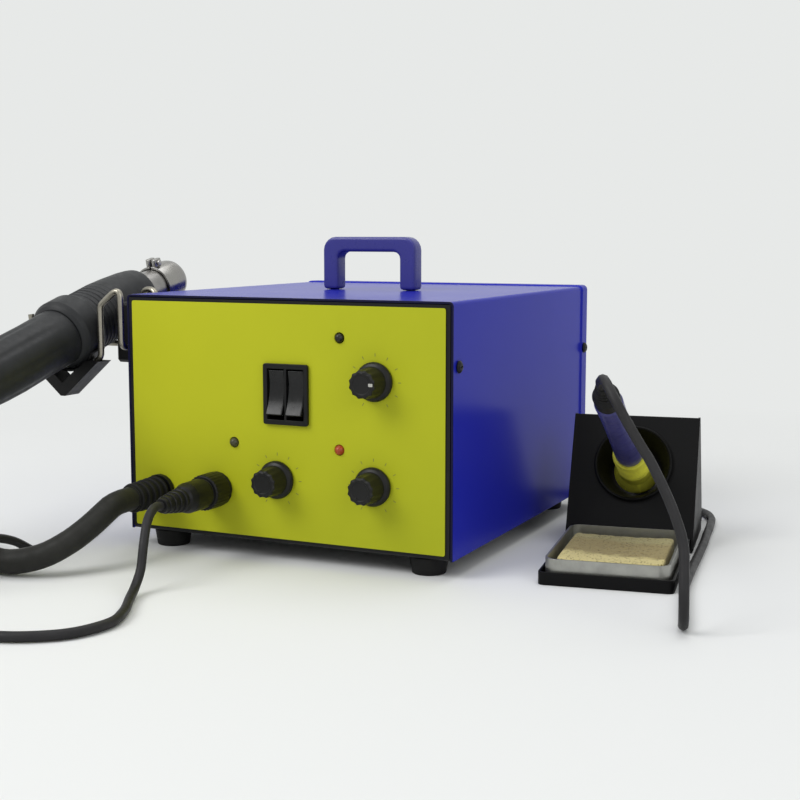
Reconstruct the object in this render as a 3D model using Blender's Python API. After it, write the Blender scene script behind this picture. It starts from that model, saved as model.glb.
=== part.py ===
"""Hot air rework station: control unit, hot air gun in its side holder, soldering iron in its stand.

Units are metres and +Z is up. The pieces are placed from the middle of the casing's front edge, on the
surface that the feet stand on. The last step moves everything, so that the origin is under the middle.
"""

import math

import bmesh
import bpy
from mathutils import Matrix, Vector

# Casing
CASE_WIDTH = 0.188
CASE_DEPTH = 0.208
CASE_HEIGHT = 0.126
COVER_SHEET = 0.0012
CHASSIS_SHEET = 0.0015
FOLD_RADIUS = 0.0025
COVER_FOLD_RADIUS = 0.0022
HEM_LENGTH = 0.009
HEM_RISE = 0.0008
FLANGE_LENGTH = 0.0125
PAN_LIP = 0.008
GAP = 0.0003
LEFT_WALL = -CASE_WIDTH / 2
RIGHT_WALL = CASE_WIDTH / 2

# Overlay on the front panel
OVERLAY_SHEET = 0.0004
OVERLAY_SIDE_MARGIN = 0.0034
OVERLAY_TOP_MARGIN = 0.0016
OVERLAY_BOTTOM_MARGIN = 0.0014

# Feet and screws
FOOT_HEIGHT = 0.0095
FOOT_TOP_RADIUS = 0.0100
FOOT_BOTTOM_RADIUS = 0.0086
FOOT_RECESS_RADIUS = 0.0038
FOOT_RECESS_DEPTH = 0.0035
FOOT_INSET_SIDE = 0.0180
FOOT_INSET_FRONT = 0.0130
FOOT_INSET_REAR = 0.0160
SCREW_HEAD_RADIUS = 0.0031
SCREW_HEAD_HEIGHT = 0.0016
SCREW_SHANK_RADIUS = 0.0014
SCREW_LENGTH = 0.0060
SCREW_FRONT_HEIGHT = 0.0946
SCREW_REAR_HEIGHT = 0.0890

# Carry handle
HANDLE_WIDTH = 0.058
HANDLE_RISE = 0.0300
HANDLE_POST = 0.0098
HANDLE_BAR = 0.0084
HANDLE_DEPTH = 0.0110
HANDLE_OUTER_RADIUS = 0.0075
HANDLE_INNER_RADIUS = 0.0040
HANDLE_EDGE = 0.0020
STUD_RADIUS = 0.0025
STUD_LENGTH = 0.0090

# Power switch, with the height of its middle above the casing's underside
SWITCH_X = 0.0035
SWITCH_Z = 0.0775
BEZEL_WIDTH = 0.0256
BEZEL_HEIGHT = 0.0310
BEZEL_RISE = 0.0018
SWITCH_BODY_DEPTH = 0.0210
BEZEL_LAP = 0.0015
ROCKER_WIDTH = 0.0092
ROCKER_HALF = 0.0114
ROCKER_SIDE_GAP = 0.0003
ROCKER_END_GAP = 0.0015
ROCKER_SPACING = 0.0111
ROCKER_TILT = math.radians(8.0)
ROCKER_PIVOT_Y = 0.0035
ROCKER_CROWN = 0.0022
ROCKER_RISE = 0.0072

# Knobs and potentiometers, (x, height above the casing's underside)
KNOB_PLACES = {
    "hot_air": (RIGHT_WALL - 0.0410, 0.0862),
    "airflow": (-0.0025, 0.0335),
    "iron": (RIGHT_WALL - 0.0420, 0.0342),
}
KNOB_SKIRT_RADIUS = 0.0098
KNOB_GRIP_RADIUS = 0.0077
KNOB_GRIP_TAPER = 0.0005
KNOB_HEIGHT = 0.0150
KNOB_SKIRT_HEIGHT = 0.0030
KNOB_FLUTES = 12
KNOB_FLUTE_DEPTH = 0.0006
NUT_RADIUS = 0.0060
NUT_HEIGHT = 0.0022
BUSHING_RADIUS = 0.0047
BUSHING_HEIGHT = 0.0042
SHAFT_RADIUS = 0.0030
SHAFT_DEPTH = 0.0095
POT_RADIUS = 0.0085
POT_DEPTH = 0.0100

# Lamps, (x, height above the casing's underside)
LAMP_PLACES = {
    "hot_air": (RIGHT_WALL - 0.0606, 0.1070),
    "iron": (RIGHT_WALL - 0.0609, 0.0511),
    "power": (LEFT_WALL + 0.0660, 0.0511),
}
LAMP_RADIUS = 0.0025
LAMP_RISE = 0.0023
LAMP_DEPTH = 0.0060
LAMP_FLANGE = 0.0005

# Air outlet and hose
OUTLET_X = LEFT_WALL + 0.0200
OUTLET_Z = 0.0224
OUTLET_NUT_RADIUS = 0.0088
OUTLET_NUT_HEIGHT = 0.0030
OUTLET_TUBE_RADIUS = 0.0050
OUTLET_TUBE_LENGTH = 0.0110
OUTLET_BORE_RADIUS = 0.0035
OUTLET_SPIGOT_LENGTH = 0.0130
HOSE_RADIUS = 0.0062
BOOT_WALL = 0.0022
BOOT_LENGTH = 0.0240

# Iron socket and plug
SOCKET_X = LEFT_WALL + 0.0555
SOCKET_Z = 0.0260
SOCKET_FLANGE_RADIUS = 0.0092
SOCKET_FLANGE_HEIGHT = 0.0018
SOCKET_COLLAR_RADIUS = 0.0072
SOCKET_COLLAR_HEIGHT = 0.0090
SOCKET_BORE_RADIUS = 0.0055
SOCKET_BODY_DEPTH = 0.0125
PLUG_RING_RADIUS = 0.0093
PLUG_RING_LENGTH = 0.0125
PLUG_BODY_RADIUS = 0.0079
PLUG_BODY_LENGTH = 0.0180
PLUG_TAIL_RADIUS = 0.0055
PLUG_TAIL_LENGTH = 0.0180
IRON_CORD_RADIUS = 0.0023

# Rear panel fittings
INLET_X = RIGHT_WALL - 0.0380
INLET_Z = 0.0320
INLET_WIDTH = 0.0275
INLET_HEIGHT = 0.0320
INLET_FLANGE = 0.0035
INLET_FLANGE_SHEET = 0.0025
INLET_DEPTH = 0.0220
INLET_RECESS = (0.0236, 0.0164, 0.0150)
FUSE_DRAWER = (0.0200, 0.0075, 0.0014)
BLADE_SIZE = (0.0020, 0.0036)
BLADE_PITCH = 0.0070
BLADE_LIFT = 0.0016
BLADE_INSET = 0.0030
VENT_SLOTS = 9
VENT_SLOT_WIDTH = 0.0032
VENT_SLOT_HEIGHT = 0.0260
VENT_PITCH = 0.0082
VENT_X = LEFT_WALL + 0.0540
VENT_Z = 0.0780

# Inside the casing
TRANSFORMER_SIZE = (0.062, 0.046, 0.052)
TRANSFORMER_AT = (RIGHT_WALL - 0.046, CASE_DEPTH - 0.058)
COIL_SIZE = (0.040, 0.062, 0.033)
PUMP_SIZE = (0.058, 0.084, 0.056)
PUMP_AT = (LEFT_WALL + 0.044, CASE_DEPTH - 0.078)
PUMP_HEAD_RADIUS = 0.021
PUMP_HEAD_RISE = 0.012
PUMP_PORT_RADIUS = 0.0040
PUMP_PORT_LENGTH = 0.010
AIR_TUBE_RADIUS = 0.0036
AIR_TUBE_BEND = 0.0200
AIR_TUBE_STRAIGHT = 0.0100
BOARD_SIZE = (0.092, 0.050, 0.0016)
BOARD_AT = (RIGHT_WALL - 0.060, 0.058)
BOARD_STANDOFF = 0.008
STANDOFF_RADIUS = 0.003
STANDOFF_INSET = 0.006
LARGE_CAPACITOR = (0.0080, 0.0220)
SMALL_CAPACITOR = (0.0050, 0.0140)
HEAT_SINK = (0.0280, 0.0040, 0.0200)
CHIP = (0.0180, 0.0090, 0.0100)

# Gun holder
BLOCK_THICKNESS = 0.0150
BLOCK_LENGTH = 0.0326
BLOCK_BOTTOM = 0.0885
BLOCK_HEIGHT = 0.0325
WIRE_RADIUS = 0.0017
WIRE_SIDE_GAP = 0.0023
WIRE_LANDING = 0.0120
WIRE_BEND = 0.0050
WIRE_ARCH = 0.0095
WIRE_ENTRY_DEPTH = 0.0240
WIRE_ENTRY_INSET = 0.0055
WIRE_END_RISE = 0.0090
WIRE_END_FLARE = 0.0030
REAR_WIRE_INSET = 0.0050
REAR_WIRE_BEND = 0.0060
GUN_WIRE_CLEARANCE = 0.0010
CRADLE_APEX = 0.0730
CRADLE_WALL = 0.0012
CRADLE_HALF_LENGTH = 0.0060
CRADLE_TOP = 0.0150
CRADLE_TOE = 0.0015
SADDLE_SHEET = 0.0014
SADDLE_LENGTH = 0.0120
SADDLE_HALF_ANGLE = math.radians(62.0)
WIRE_DOWN_X = LEFT_WALL - BLOCK_THICKNESS - WIRE_SIDE_GAP - WIRE_RADIUS

# Hot air gun: lengths run along its axis from the raised ring, positive towards the nozzle
GUN_SLOPE = math.radians(16.5)
GUN_RING_RADIUS = 0.0193
GUN_RING_HALF = 0.0065
GUN_BODY_RADIUS = 0.0172
GUN_FRONT = 0.0670
GUN_FRONT_RADIUS = 0.0138
GUN_GRIP_RADIUS = 0.0158
GUN_GRIP_LENGTH = 0.0780
GUN_TAIL_RADIUS = 0.0108
GUN_TAIL_SLEEVE = 0.0080
GUN_BEND_AT = 0.0525
GUN_BEND = math.radians(-4.0)
PIPE_RADIUS = 0.0106
PIPE_WALL = 0.0008
PIPE_LENGTH = 0.0495
NOZZLE_WALL = 0.0013
NOZZLE_SLEEVE = 0.0190
NOZZLE_OVERHANG = 0.0025
NOZZLE_OUTLET_RADIUS = 0.0056
NOZZLE_OUTLET_LENGTH = 0.0048
HEATER_LOBES = 8
HEATER_LENGTH = 0.0380
GUN_BOOT_NOSE = 0.0060
GUN_BOOT_LENGTH = 0.0240
GUN_CENTRE = (WIRE_DOWN_X - WIRE_RADIUS - GUN_WIRE_CLEARANCE - GUN_RING_RADIUS, 0.0020, 0.1046)

# Iron stand: lengths run back from the middle of its front edge
STAND_AT = (0.1650, 0.0172)
STAND_TURN = math.radians(8.5)
STAND_SHEET = 0.0012
BASE_WIDTH = 0.0650
BASE_LENGTH = 0.1760
BASE_LIP = 0.0065
BASE_CORNER = 0.0030
IRON_SLOPE = math.radians(24.1)
PLATE_AT = 0.0860
PLATE_LEAN = IRON_SLOPE
PLATE_HEIGHT = 0.0680
PLATE_FLANGE = 0.0600
PLATE_FLANGE_REAR = 0.0150
FUNNEL_AT = (0.1120, 0.0400)
FUNNEL_MOUTH_RADIUS = 0.0193
FUNNEL_THROAT_RADIUS = 0.0090
FUNNEL_FRONT = -0.0100
FUNNEL_LENGTH = 0.0320
FUNNEL_SHEET = 0.0010
SPRING_RADIUS = 0.0094
SPRING_WIRE = 0.0008
SPRING_TURNS = 8
SPRING_LENGTH = 0.0300
TRAY_WIDTH = 0.0600
TRAY_LENGTH = 0.0820
TRAY_SHEET = 0.0010
TRAY_RIM = 0.0125
TRAY_CORNER = 0.0060
TRAY_FRONT_GAP = 0.0012
SPONGE_SIDE_SPACE = 0.0040
SPONGE_FRONT_SPACE = 0.0116
SPONGE_REAR_SPACE = 0.0104
SPONGE_WIDTH = TRAY_WIDTH - 2 * SPONGE_SIDE_SPACE
SPONGE_LENGTH = TRAY_LENGTH - SPONGE_FRONT_SPACE - SPONGE_REAR_SPACE
SPONGE_HEIGHT = 0.0078
SPONGE_AT = STAND_SHEET + TRAY_FRONT_GAP + SPONGE_FRONT_SPACE

# Soldering iron: lengths run along its axis from the plate, positive towards the tip
IRON_GRIP_FRONT = 0.0110
IRON_GRIP_LENGTH = 0.0400
IRON_GRIP_RADIUS = 0.0090
IRON_FLANGE_RADIUS = 0.0122
IRON_FLANGE_LENGTH = 0.0032
IRON_CORE_RADIUS = 0.0055
IRON_HANDLE_LENGTH = 0.0930
IRON_HANDLE_RADIUS = 0.0074
IRON_CAP_RADIUS = 0.0064
IRON_CAP_LENGTH = 0.0120
IRON_BOOT_LENGTH = 0.0110
IRON_NUT_RADIUS = 0.0064
IRON_NUT_LENGTH = 0.0120
IRON_BARREL_RADIUS = 0.0044
IRON_BARREL_LENGTH = 0.0280
IRON_TIP_RADIUS = 0.0030
IRON_TIP_LENGTH = 0.0150
IRON_TIP_POINT = 0.0007

# Route of the hose from its boot on the front panel to the coil, and from the coil up to the gun
COIL_CENTRE = (-0.2220, -0.1120)
COIL_RADIUS = 0.0660
COIL_LAYERS = 2
HOSE_OUT_ROUTE = [
    (-0.0743, -0.0432, 0.0309),
    (-0.0754, -0.0505, 0.0272),
    (-0.0778, -0.0588, 0.0222),
    (-0.0828, -0.0675, 0.0164),
    (-0.0922, -0.0757, 0.0105),
    (-0.1065, -0.0810, 0.0072),
    (-0.1235, -0.0775, 0.0068),
    (-0.1390, -0.0655, 0.0068),
    (-0.1545, -0.0530, 0.0068),
]
HOSE_IN_ROUTE = [
    (-0.1660, -0.1770, 0.0218),
    (-0.1500, -0.1705, 0.0350),
    (-0.1393, -0.1565, 0.0525),
    (-0.1355, -0.1360, 0.0702),
]
HOSE_STRAIGHT = 0.0080

# Route of the iron's cord from its plug, round the back, to the foot of its rise, and up to the iron
IRON_CORD_ROUTE = [
    (-0.0350, -0.0680, 0.0315),
    (-0.0322, -0.0755, 0.0215),
    (-0.0308, -0.0800, 0.0112),
    (-0.0292, -0.0870, 0.0045),
    (-0.0235, -0.0990, 0.0026),
    (-0.0125, -0.1190, 0.0026),
    (-0.0080, -0.1370, 0.0026),
    (-0.0170, -0.1580, 0.0026),
    (-0.0450, -0.1710, 0.0026),
    (-0.0830, -0.1600, 0.0026),
    (-0.1060, -0.1350, 0.0030),
    (-0.1170, -0.1080, 0.0080),
    (-0.1200, -0.0930, 0.0150),
    (-0.1205, -0.0790, 0.0170),
    (-0.1192, -0.0650, 0.0130),
    (-0.1172, -0.0500, 0.0045),
    (-0.1170, -0.0340, 0.0026),
    (-0.1243, -0.0063, 0.0026),
    (-0.1403, 0.0322, 0.0026),
    (-0.1540, 0.0640, 0.0026),
    (-0.1650, 0.0950, 0.0026),
    (-0.1680, 0.1300, 0.0026),
    (-0.1560, 0.1750, 0.0026),
    (-0.1200, 0.2150, 0.0026),
    (-0.0600, 0.2330, 0.0026),
    (0.0200, 0.2350, 0.0026),
    (0.1000, 0.2290, 0.0026),
    (0.1450, 0.2180, 0.0026),
    (0.1680, 0.2060, 0.0026),
    (0.1775, 0.1900, 0.0026),
    (0.1818, 0.1680, 0.0026),
    (0.1850, 0.1450, 0.0026),
    (0.1880, 0.1250, 0.0026),
    (0.1912, 0.1000, 0.0026),
    (0.1948, 0.0700, 0.0026),
    (0.1980, 0.0450, 0.0026),
    (0.2012, 0.0250, 0.0026),
    (0.2071, -0.0007, 0.0026),
    (0.2102, -0.0136, 0.0026),
    (0.2129, -0.0248, 0.0026),
    (0.2145, -0.0330, 0.0026),
    (0.2158, -0.0383, 0.0041),
    (0.2168, -0.0423, 0.0081),
    (0.2171, -0.0437, 0.0136),
]
IRON_CORD_RISE = [
    (0.2153, -0.0384, 0.0358),
    (0.2131, -0.0364, 0.0433),
    (0.2073, -0.0340, 0.0560),
    (0.1990, -0.0314, 0.0703),
    (0.1937, -0.0298, 0.0775),
    (0.1872, -0.0280, 0.0867),
    (0.1805, -0.0264, 0.0970),
    (0.1740, -0.0195, 0.1040),
]
IRON_CORD_MEETING = (0.2164, -0.0416, 0.0256)
IRON_CORD_HEADING = (-0.09, 0.28, 0.95)
IRON_CORD_STRAIGHT = 0.0060

# Colour, roughness and metallic value of each finish
FINISHES = {
    "cover_blue": ((0.045, 0.045, 0.330, 1.0), 0.25, 0.0),
    "overlay_lime": ((0.400, 0.430, 0.028, 1.0), 0.38, 0.0),
    "chassis_black": ((0.012, 0.012, 0.014, 1.0), 0.45, 0.0),
    "rubber_black": ((0.010, 0.010, 0.010, 1.0), 0.75, 0.0),
    "plastic_black": ((0.014, 0.014, 0.015, 1.0), 0.35, 0.0),
    "gun_grey": ((0.050, 0.054, 0.057, 1.0), 0.45, 0.0),
    "steel": ((0.550, 0.540, 0.510, 1.0), 0.25, 1.0),
    "wire_steel": ((0.560, 0.530, 0.460, 1.0), 0.35, 1.0),
    "ceramic": ((0.720, 0.690, 0.620, 1.0), 0.80, 0.0),
    "lamp_red": ((0.450, 0.030, 0.015, 1.0), 0.20, 0.0),
    "lamp_dark": ((0.060, 0.050, 0.030, 1.0), 0.20, 0.0),
    "lamp_smoke": ((0.130, 0.130, 0.090, 1.0), 0.20, 0.0),
    "hose_rubber": ((0.020, 0.020, 0.016, 1.0), 0.60, 0.0),
    "cord_rubber": ((0.016, 0.015, 0.016, 1.0), 0.55, 0.0),
    "iron_blue": ((0.060, 0.055, 0.270, 1.0), 0.35, 0.0),
    "iron_lime": ((0.560, 0.560, 0.060, 1.0), 0.55, 0.0),
    "tray_grey": ((0.420, 0.430, 0.420, 1.0), 0.40, 0.6),
    "sponge_yellow": ((0.680, 0.560, 0.230, 1.0), 0.95, 0.0),
    "tip_iron": ((0.300, 0.280, 0.260, 1.0), 0.40, 1.0),
    "core_steel": ((0.200, 0.200, 0.210, 1.0), 0.50, 0.6),
    "pump_zinc": ((0.350, 0.360, 0.370, 1.0), 0.45, 0.8),
    "board_green": ((0.020, 0.130, 0.050, 1.0), 0.45, 0.0),
    "air_tube_clear": ((0.550, 0.540, 0.480, 1.0), 0.30, 0.0),
}

# Places that several pieces share
CASE_BOTTOM = FOOT_HEIGHT
CASE_TOP = CASE_BOTTOM + CASE_HEIGHT
PANEL_WIDTH = CASE_WIDTH - 2 * (COVER_SHEET + GAP)
PANEL_TOP = CASE_TOP - COVER_SHEET - GAP
PAN_TOP = CASE_BOTTOM + CHASSIS_SHEET
OVERLAY_FRONT = GAP + OVERLAY_SHEET
SCREW_FRONT_Y = CHASSIS_SHEET + 0.0047
SCREW_REAR_Y = CASE_DEPTH - CHASSIS_SHEET - 0.0047
BLOCK_FRONT = SCREW_FRONT_Y + SCREW_HEAD_RADIUS + 2 * GAP
SCREW_HOLE_RADIUS = SCREW_SHANK_RADIUS + GAP
HOLE_CLEARANCE = GAP
THROUGH = 0.02

X_AXIS = Vector((1, 0, 0))
Y_AXIS = Vector((0, 1, 0))
Z_AXIS = Vector((0, 0, 1))
OUT_OF_PANEL = (math.pi / 2, 0, 0)
ALONG_Y = (-math.pi / 2, 0, 0)


def clear_scene():
    for obj in list(bpy.data.objects):
        bpy.data.objects.remove(obj, do_unlink=True)


def finish(name):
    """The material of this name, made on its first use."""
    found = bpy.data.materials.get(name)
    if found:
        return found
    colour, roughness, metallic = FINISHES[name]
    made = bpy.data.materials.new(name)
    made.use_nodes = True
    made.diffuse_color = colour
    shader = made.node_tree.nodes["Principled BSDF"]
    shader.inputs["Base Color"].default_value = colour
    shader.inputs["Roughness"].default_value = roughness
    shader.inputs["Metallic"].default_value = metallic
    return made


def place(obj, at=(0, 0, 0), turn=(0, 0, 0), parent=None):
    obj.location = at
    obj.rotation_euler = turn
    if parent:
        obj.parent = parent
    bpy.context.scene.collection.objects.link(obj)
    return obj


def solid(name, bm, material, at=(0, 0, 0), turn=(0, 0, 0), parent=None, smooth=35):
    """A visible piece made from a bmesh."""
    bmesh.ops.recalc_face_normals(bm, faces=bm.faces)
    mesh = bpy.data.meshes.new(name)
    bm.to_mesh(mesh)
    bm.free()
    mesh.shade_smooth()
    mesh.set_sharp_from_angle(angle=math.radians(smooth))
    mesh.materials.append(finish(material))
    return place(bpy.data.objects.new(name, mesh), at, turn, parent)


def helper(name, bm, at=(0, 0, 0), turn=(0, 0, 0), parent=None):
    """A hidden solid that a Boolean adds to a piece or cuts from it."""
    bmesh.ops.recalc_face_normals(bm, faces=bm.faces)
    mesh = bpy.data.meshes.new(name)
    bm.to_mesh(mesh)
    bm.free()
    obj = place(bpy.data.objects.new(name, mesh), at, turn, parent)
    obj.hide_render = True
    obj.display_type = "WIRE"
    return obj


def combine(obj, other, operation):
    modifier = obj.modifiers.new(f"{operation.lower()} {other.name}", "BOOLEAN")
    modifier.operation = operation
    modifier.solver = "EXACT"
    modifier.object = other
    return obj


def cut(obj, cutter):
    return combine(obj, cutter, "DIFFERENCE")


def fuse(obj, other):
    return combine(obj, other, "UNION")


def bevel(obj, width, segments=2, angle=30):
    modifier = obj.modifiers.new("rounded edges", "BEVEL")
    modifier.width = width
    modifier.segments = segments
    modifier.limit_method = "ANGLE"
    modifier.angle_limit = math.radians(angle)
    return obj


def empty(name, at, turn, parent=None):
    return place(bpy.data.objects.new(name, None), at, turn, parent)


def add_box(bm, low, high):
    """A box between two corners."""
    low, high = Vector(low), Vector(high)
    made = bmesh.ops.create_cube(bm, size=1.0)["verts"]
    for vert in made:
        vert.co = Vector([low[k] + (vert.co[k] + 0.5) * (high[k] - low[k]) for k in range(3)])
    return bm


def box(low, high):
    return add_box(bmesh.new(), low, high)


def add_turned(bm, profile, steps=24, closed=False, flutes=0, depth=0.0, fluted=()):
    """A shape turned about +Z. profile lists (radius, height); fluted names the points that carry flutes."""
    rings = []
    for number, (radius, height) in enumerate(profile):
        if radius < 1e-7:
            rings.append([bm.verts.new((0, 0, height))])
            continue
        ring = []
        for step in range(steps):
            angle = 2 * math.pi * step / steps
            wave = depth * (0.5 + 0.5 * math.cos(flutes * angle)) if number in fluted else 0.0
            reach = radius - wave
            ring.append(bm.verts.new((reach * math.cos(angle), reach * math.sin(angle), height)))
        rings.append(ring)
    pairs = list(zip(rings, rings[1:]))
    if closed:
        pairs.append((rings[-1], rings[0]))
    for lower, upper in pairs:
        for step in range(steps):
            corners = [
                lower[step % len(lower)],
                lower[(step + 1) % len(lower)],
                upper[(step + 1) % len(upper)],
                upper[step % len(upper)],
            ]
            unique = list(dict.fromkeys(corners))
            if len(unique) > 2:
                bm.faces.new(unique)
    return bm


def turned(profile, **options):
    return add_turned(bmesh.new(), profile, **options)


def add_cylinder(bm, radius, low, high, centre=(0, 0), steps=18):
    """A cylinder along +Z."""
    made = bmesh.new()
    add_turned(made, [(0, low), (radius, low), (radius, high), (0, high)], steps=steps)
    bmesh.ops.translate(made, verts=made.verts, vec=(centre[0], centre[1], 0))
    bmesh.ops.recalc_face_normals(made, faces=made.faces)
    mesh = bpy.data.meshes.new("cylinder")
    made.to_mesh(mesh)
    made.free()
    bm.from_mesh(mesh)
    bpy.data.meshes.remove(mesh)
    return bm


def arc(centre, radius, start, end, steps):
    """Points on an arc, from start to end in degrees."""
    return [
        (
            centre[0] + radius * math.cos(math.radians(start + (end - start) * k / steps)),
            centre[1] + radius * math.sin(math.radians(start + (end - start) * k / steps)),
        )
        for k in range(steps + 1)
    ]


def rounded_rectangle(width, height, radius, centre=(0, 0), steps=3):
    x, y = width / 2 - radius, height / 2 - radius
    points = []
    for (sx, sy), start in (((1, 1), 0), ((-1, 1), 90), ((-1, -1), 180), ((1, -1), 270)):
        points += arc((centre[0] + sx * x, centre[1] + sy * y), radius, start, start + 90, steps)
    return points


def add_prism(bm, outline, low, high, axes="XY"):
    """An outline extruded along the axis that axes leaves out, from low to high."""
    first, second = ("XYZ".index(letter) for letter in axes)
    third = 3 - first - second

    def vertex(point, level):
        place_at = [0.0, 0.0, 0.0]
        place_at[first], place_at[second], place_at[third] = point[0], point[1], level
        return bm.verts.new(place_at)

    bottom = [vertex(point, low) for point in outline]
    top = [vertex(point, high) for point in outline]
    bm.faces.new(bottom)
    bm.faces.new(top)
    count = len(outline)
    for k in range(count):
        bm.faces.new((bottom[k], bottom[(k + 1) % count], top[(k + 1) % count], top[k]))
    return bm


def prism(outline, low, high, axes="XY"):
    return add_prism(bmesh.new(), outline, low, high, axes)


def rod(name, points, radius, material, parent=None, sides=2):
    """A round bar or tube along a list of points, with flat ends."""
    curve = bpy.data.curves.new(name, "CURVE")
    curve.dimensions = "3D"
    curve.bevel_depth = radius
    curve.bevel_resolution = sides
    curve.use_fill_caps = True
    spline = curve.splines.new("POLY")
    spline.points.add(len(points) - 1)
    for point, target in zip(spline.points, points):
        point.co = (*target, 1.0)
    curve.materials.append(finish(material))
    return place(bpy.data.objects.new(name, curve), parent=parent)


def bent(corners, radius, steps=3):
    """The corners joined by straight runs, with a bend of this radius at each inner corner."""
    corners = [Vector(corner) for corner in corners]
    points = [corners[0]]
    for before, corner, after in zip(corners, corners[1:], corners[2:]):
        back, ahead = (before - corner).normalized(), (after - corner).normalized()
        half = back.angle(ahead) / 2
        reach = min(radius / math.tan(half), (before - corner).length * 0.48, (after - corner).length * 0.48)
        start, end = corner + back * reach, corner + ahead * reach
        for k in range(steps + 1):
            share = k / steps
            points.append(
                start * (1 - share) ** 2 + corner * (2 * share * (1 - share)) + end * share**2
            )
    points.append(corners[-1])
    return points


def smooth_route(route, spacing):
    """Points on a smooth curve through the route: its first and last legs whole, the rest evenly spaced."""
    route = [Vector(point) for point in route]
    ends = [route[0] * 2 - route[1], *route, route[-1] * 2 - route[-2]]
    fine = []
    for a, b, c, d in zip(ends, ends[1:], ends[2:], ends[3:]):
        for k in range(24):
            t = k / 24
            fine.append(
                0.5
                * (
                    2 * b
                    + (c - a) * t
                    + (2 * a - 5 * b + 4 * c - d) * t**2
                    + (3 * b - a - 3 * c + d) * t**3
                )
            )
    fine.append(route[-1])
    inner = fine[24:-24]
    lengths = [0.0]
    for first, second in zip(inner, inner[1:]):
        lengths.append(lengths[-1] + (second - first).length)
    count = max(2, round(lengths[-1] / spacing))
    points, at = [route[0]], 0
    for k in range(count + 1):
        wanted = lengths[-1] * k / count
        while at < len(lengths) - 2 and lengths[at + 1] < wanted:
            at += 1
        share = (wanted - lengths[at]) / max(lengths[at + 1] - lengths[at], 1e-9)
        points.append(inner[at].lerp(inner[at + 1], share))
    return [*points, route[-1]]


def panel_holes(back, front):
    """Everything that passes through the front panel and the overlay, as one cutter along Y."""
    bm = bmesh.new()
    clearance = HOLE_CLEARANCE
    for x, z in KNOB_PLACES.values():
        add_cylinder(bm, BUSHING_RADIUS + clearance, -back, front, (x, CASE_BOTTOM + z))
    for x, z in LAMP_PLACES.values():
        add_cylinder(bm, LAMP_RADIUS + clearance, -back, front, (x, CASE_BOTTOM + z), steps=16)
    outlet = (OUTLET_X, CASE_BOTTOM + OUTLET_Z)
    socket = (SOCKET_X, CASE_BOTTOM + SOCKET_Z)
    add_cylinder(bm, OUTLET_TUBE_RADIUS + clearance, -back, front, outlet)
    add_cylinder(bm, SOCKET_COLLAR_RADIUS + clearance, -back, front, socket)
    # The cylinders run along +Z here, so they are turned to run out of the panel, towards -Y.
    bmesh.ops.rotate(bm, verts=bm.verts, cent=(0, 0, 0), matrix=Matrix.Rotation(math.pi / 2, 3, "X"))
    body_width = BEZEL_WIDTH - 2 * BEZEL_LAP + 2 * clearance
    body_height = BEZEL_HEIGHT - 2 * BEZEL_LAP + 2 * clearance
    middle = CASE_BOTTOM + SWITCH_Z
    add_box(
        bm,
        (SWITCH_X - body_width / 2, -front, middle - body_height / 2),
        (SWITCH_X + body_width / 2, back, middle + body_height / 2),
    )
    return bm


def make_chassis():
    """Front panel and pan folded from one sheet, with flanges for the cover's screws and low side lips."""
    outer, inner = FOLD_RADIUS, FOLD_RADIUS - CHASSIS_SHEET
    rear = CASE_DEPTH - CHASSIS_SHEET - GAP
    fold = (outer, CASE_BOTTOM + outer)
    outline = [(0, PANEL_TOP)]
    outline += arc(fold, outer, 180, 270, 4)
    outline += [(rear, CASE_BOTTOM), (rear, PAN_TOP)]
    outline += arc(fold, inner, 270, 180, 4)
    outline += [(CHASSIS_SHEET, PANEL_TOP)]
    half = PANEL_WIDTH / 2
    chassis = solid("chassis", prism(outline, -half, half, "YZ"), "chassis_black")
    for side in (-1, 1):
        inner_face = side * (half - CHASSIS_SHEET)
        low_x, high_x = sorted((inner_face, side * half))
        tab = box(
            (low_x, CHASSIS_SHEET / 2, CASE_BOTTOM + FOLD_RADIUS),
            (high_x, CHASSIS_SHEET + FLANGE_LENGTH, PANEL_TOP - FOLD_RADIUS),
        )
        fuse(chassis, helper(f"front flange {side}", tab))
        lip = box(
            (low_x, FOLD_RADIUS + CHASSIS_SHEET, CASE_BOTTOM + CHASSIS_SHEET / 2),
            (high_x, rear - FLANGE_LENGTH - 2 * GAP, CASE_BOTTOM + PAN_LIP),
        )
        fuse(chassis, helper(f"pan lip {side}", lip))
    cut(chassis, helper("panel holes", panel_holes(THROUGH, THROUGH)))
    cut(chassis, helper("front screw holes", side_screw_holes(SCREW_FRONT_Y, SCREW_FRONT_HEIGHT)))
    return chassis


def side_screw_holes(y, height):
    """A cutter for the two screws that hold the cover at this depth, one in each wall."""
    bm = bmesh.new()
    reach = CASE_WIDTH / 2 + THROUGH
    add_cylinder(bm, SCREW_HOLE_RADIUS, -reach, reach, steps=12)
    bmesh.ops.rotate(bm, verts=bm.verts, cent=(0, 0, 0), matrix=Matrix.Rotation(math.pi / 2, 3, "Y"))
    bmesh.ops.translate(bm, verts=bm.verts, vec=(0, y, CASE_BOTTOM + height))
    return bm


def make_overlay():
    """Thin printed sheet on the front panel, short of the panel's edges at the top and sides."""
    half = PANEL_WIDTH / 2 - OVERLAY_SIDE_MARGIN + COVER_SHEET
    low = CASE_BOTTOM + FOLD_RADIUS + OVERLAY_BOTTOM_MARGIN - COVER_SHEET
    high = PANEL_TOP - OVERLAY_TOP_MARGIN
    outline = rounded_rectangle(2 * half, high - low, 0.001, (0, (low + high) / 2))
    sheet = solid("panel_overlay", prism(outline, -OVERLAY_FRONT, -GAP, "XZ"), "overlay_lime")
    return cut(sheet, helper("overlay holes", panel_holes(THROUGH, THROUGH)))


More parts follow.
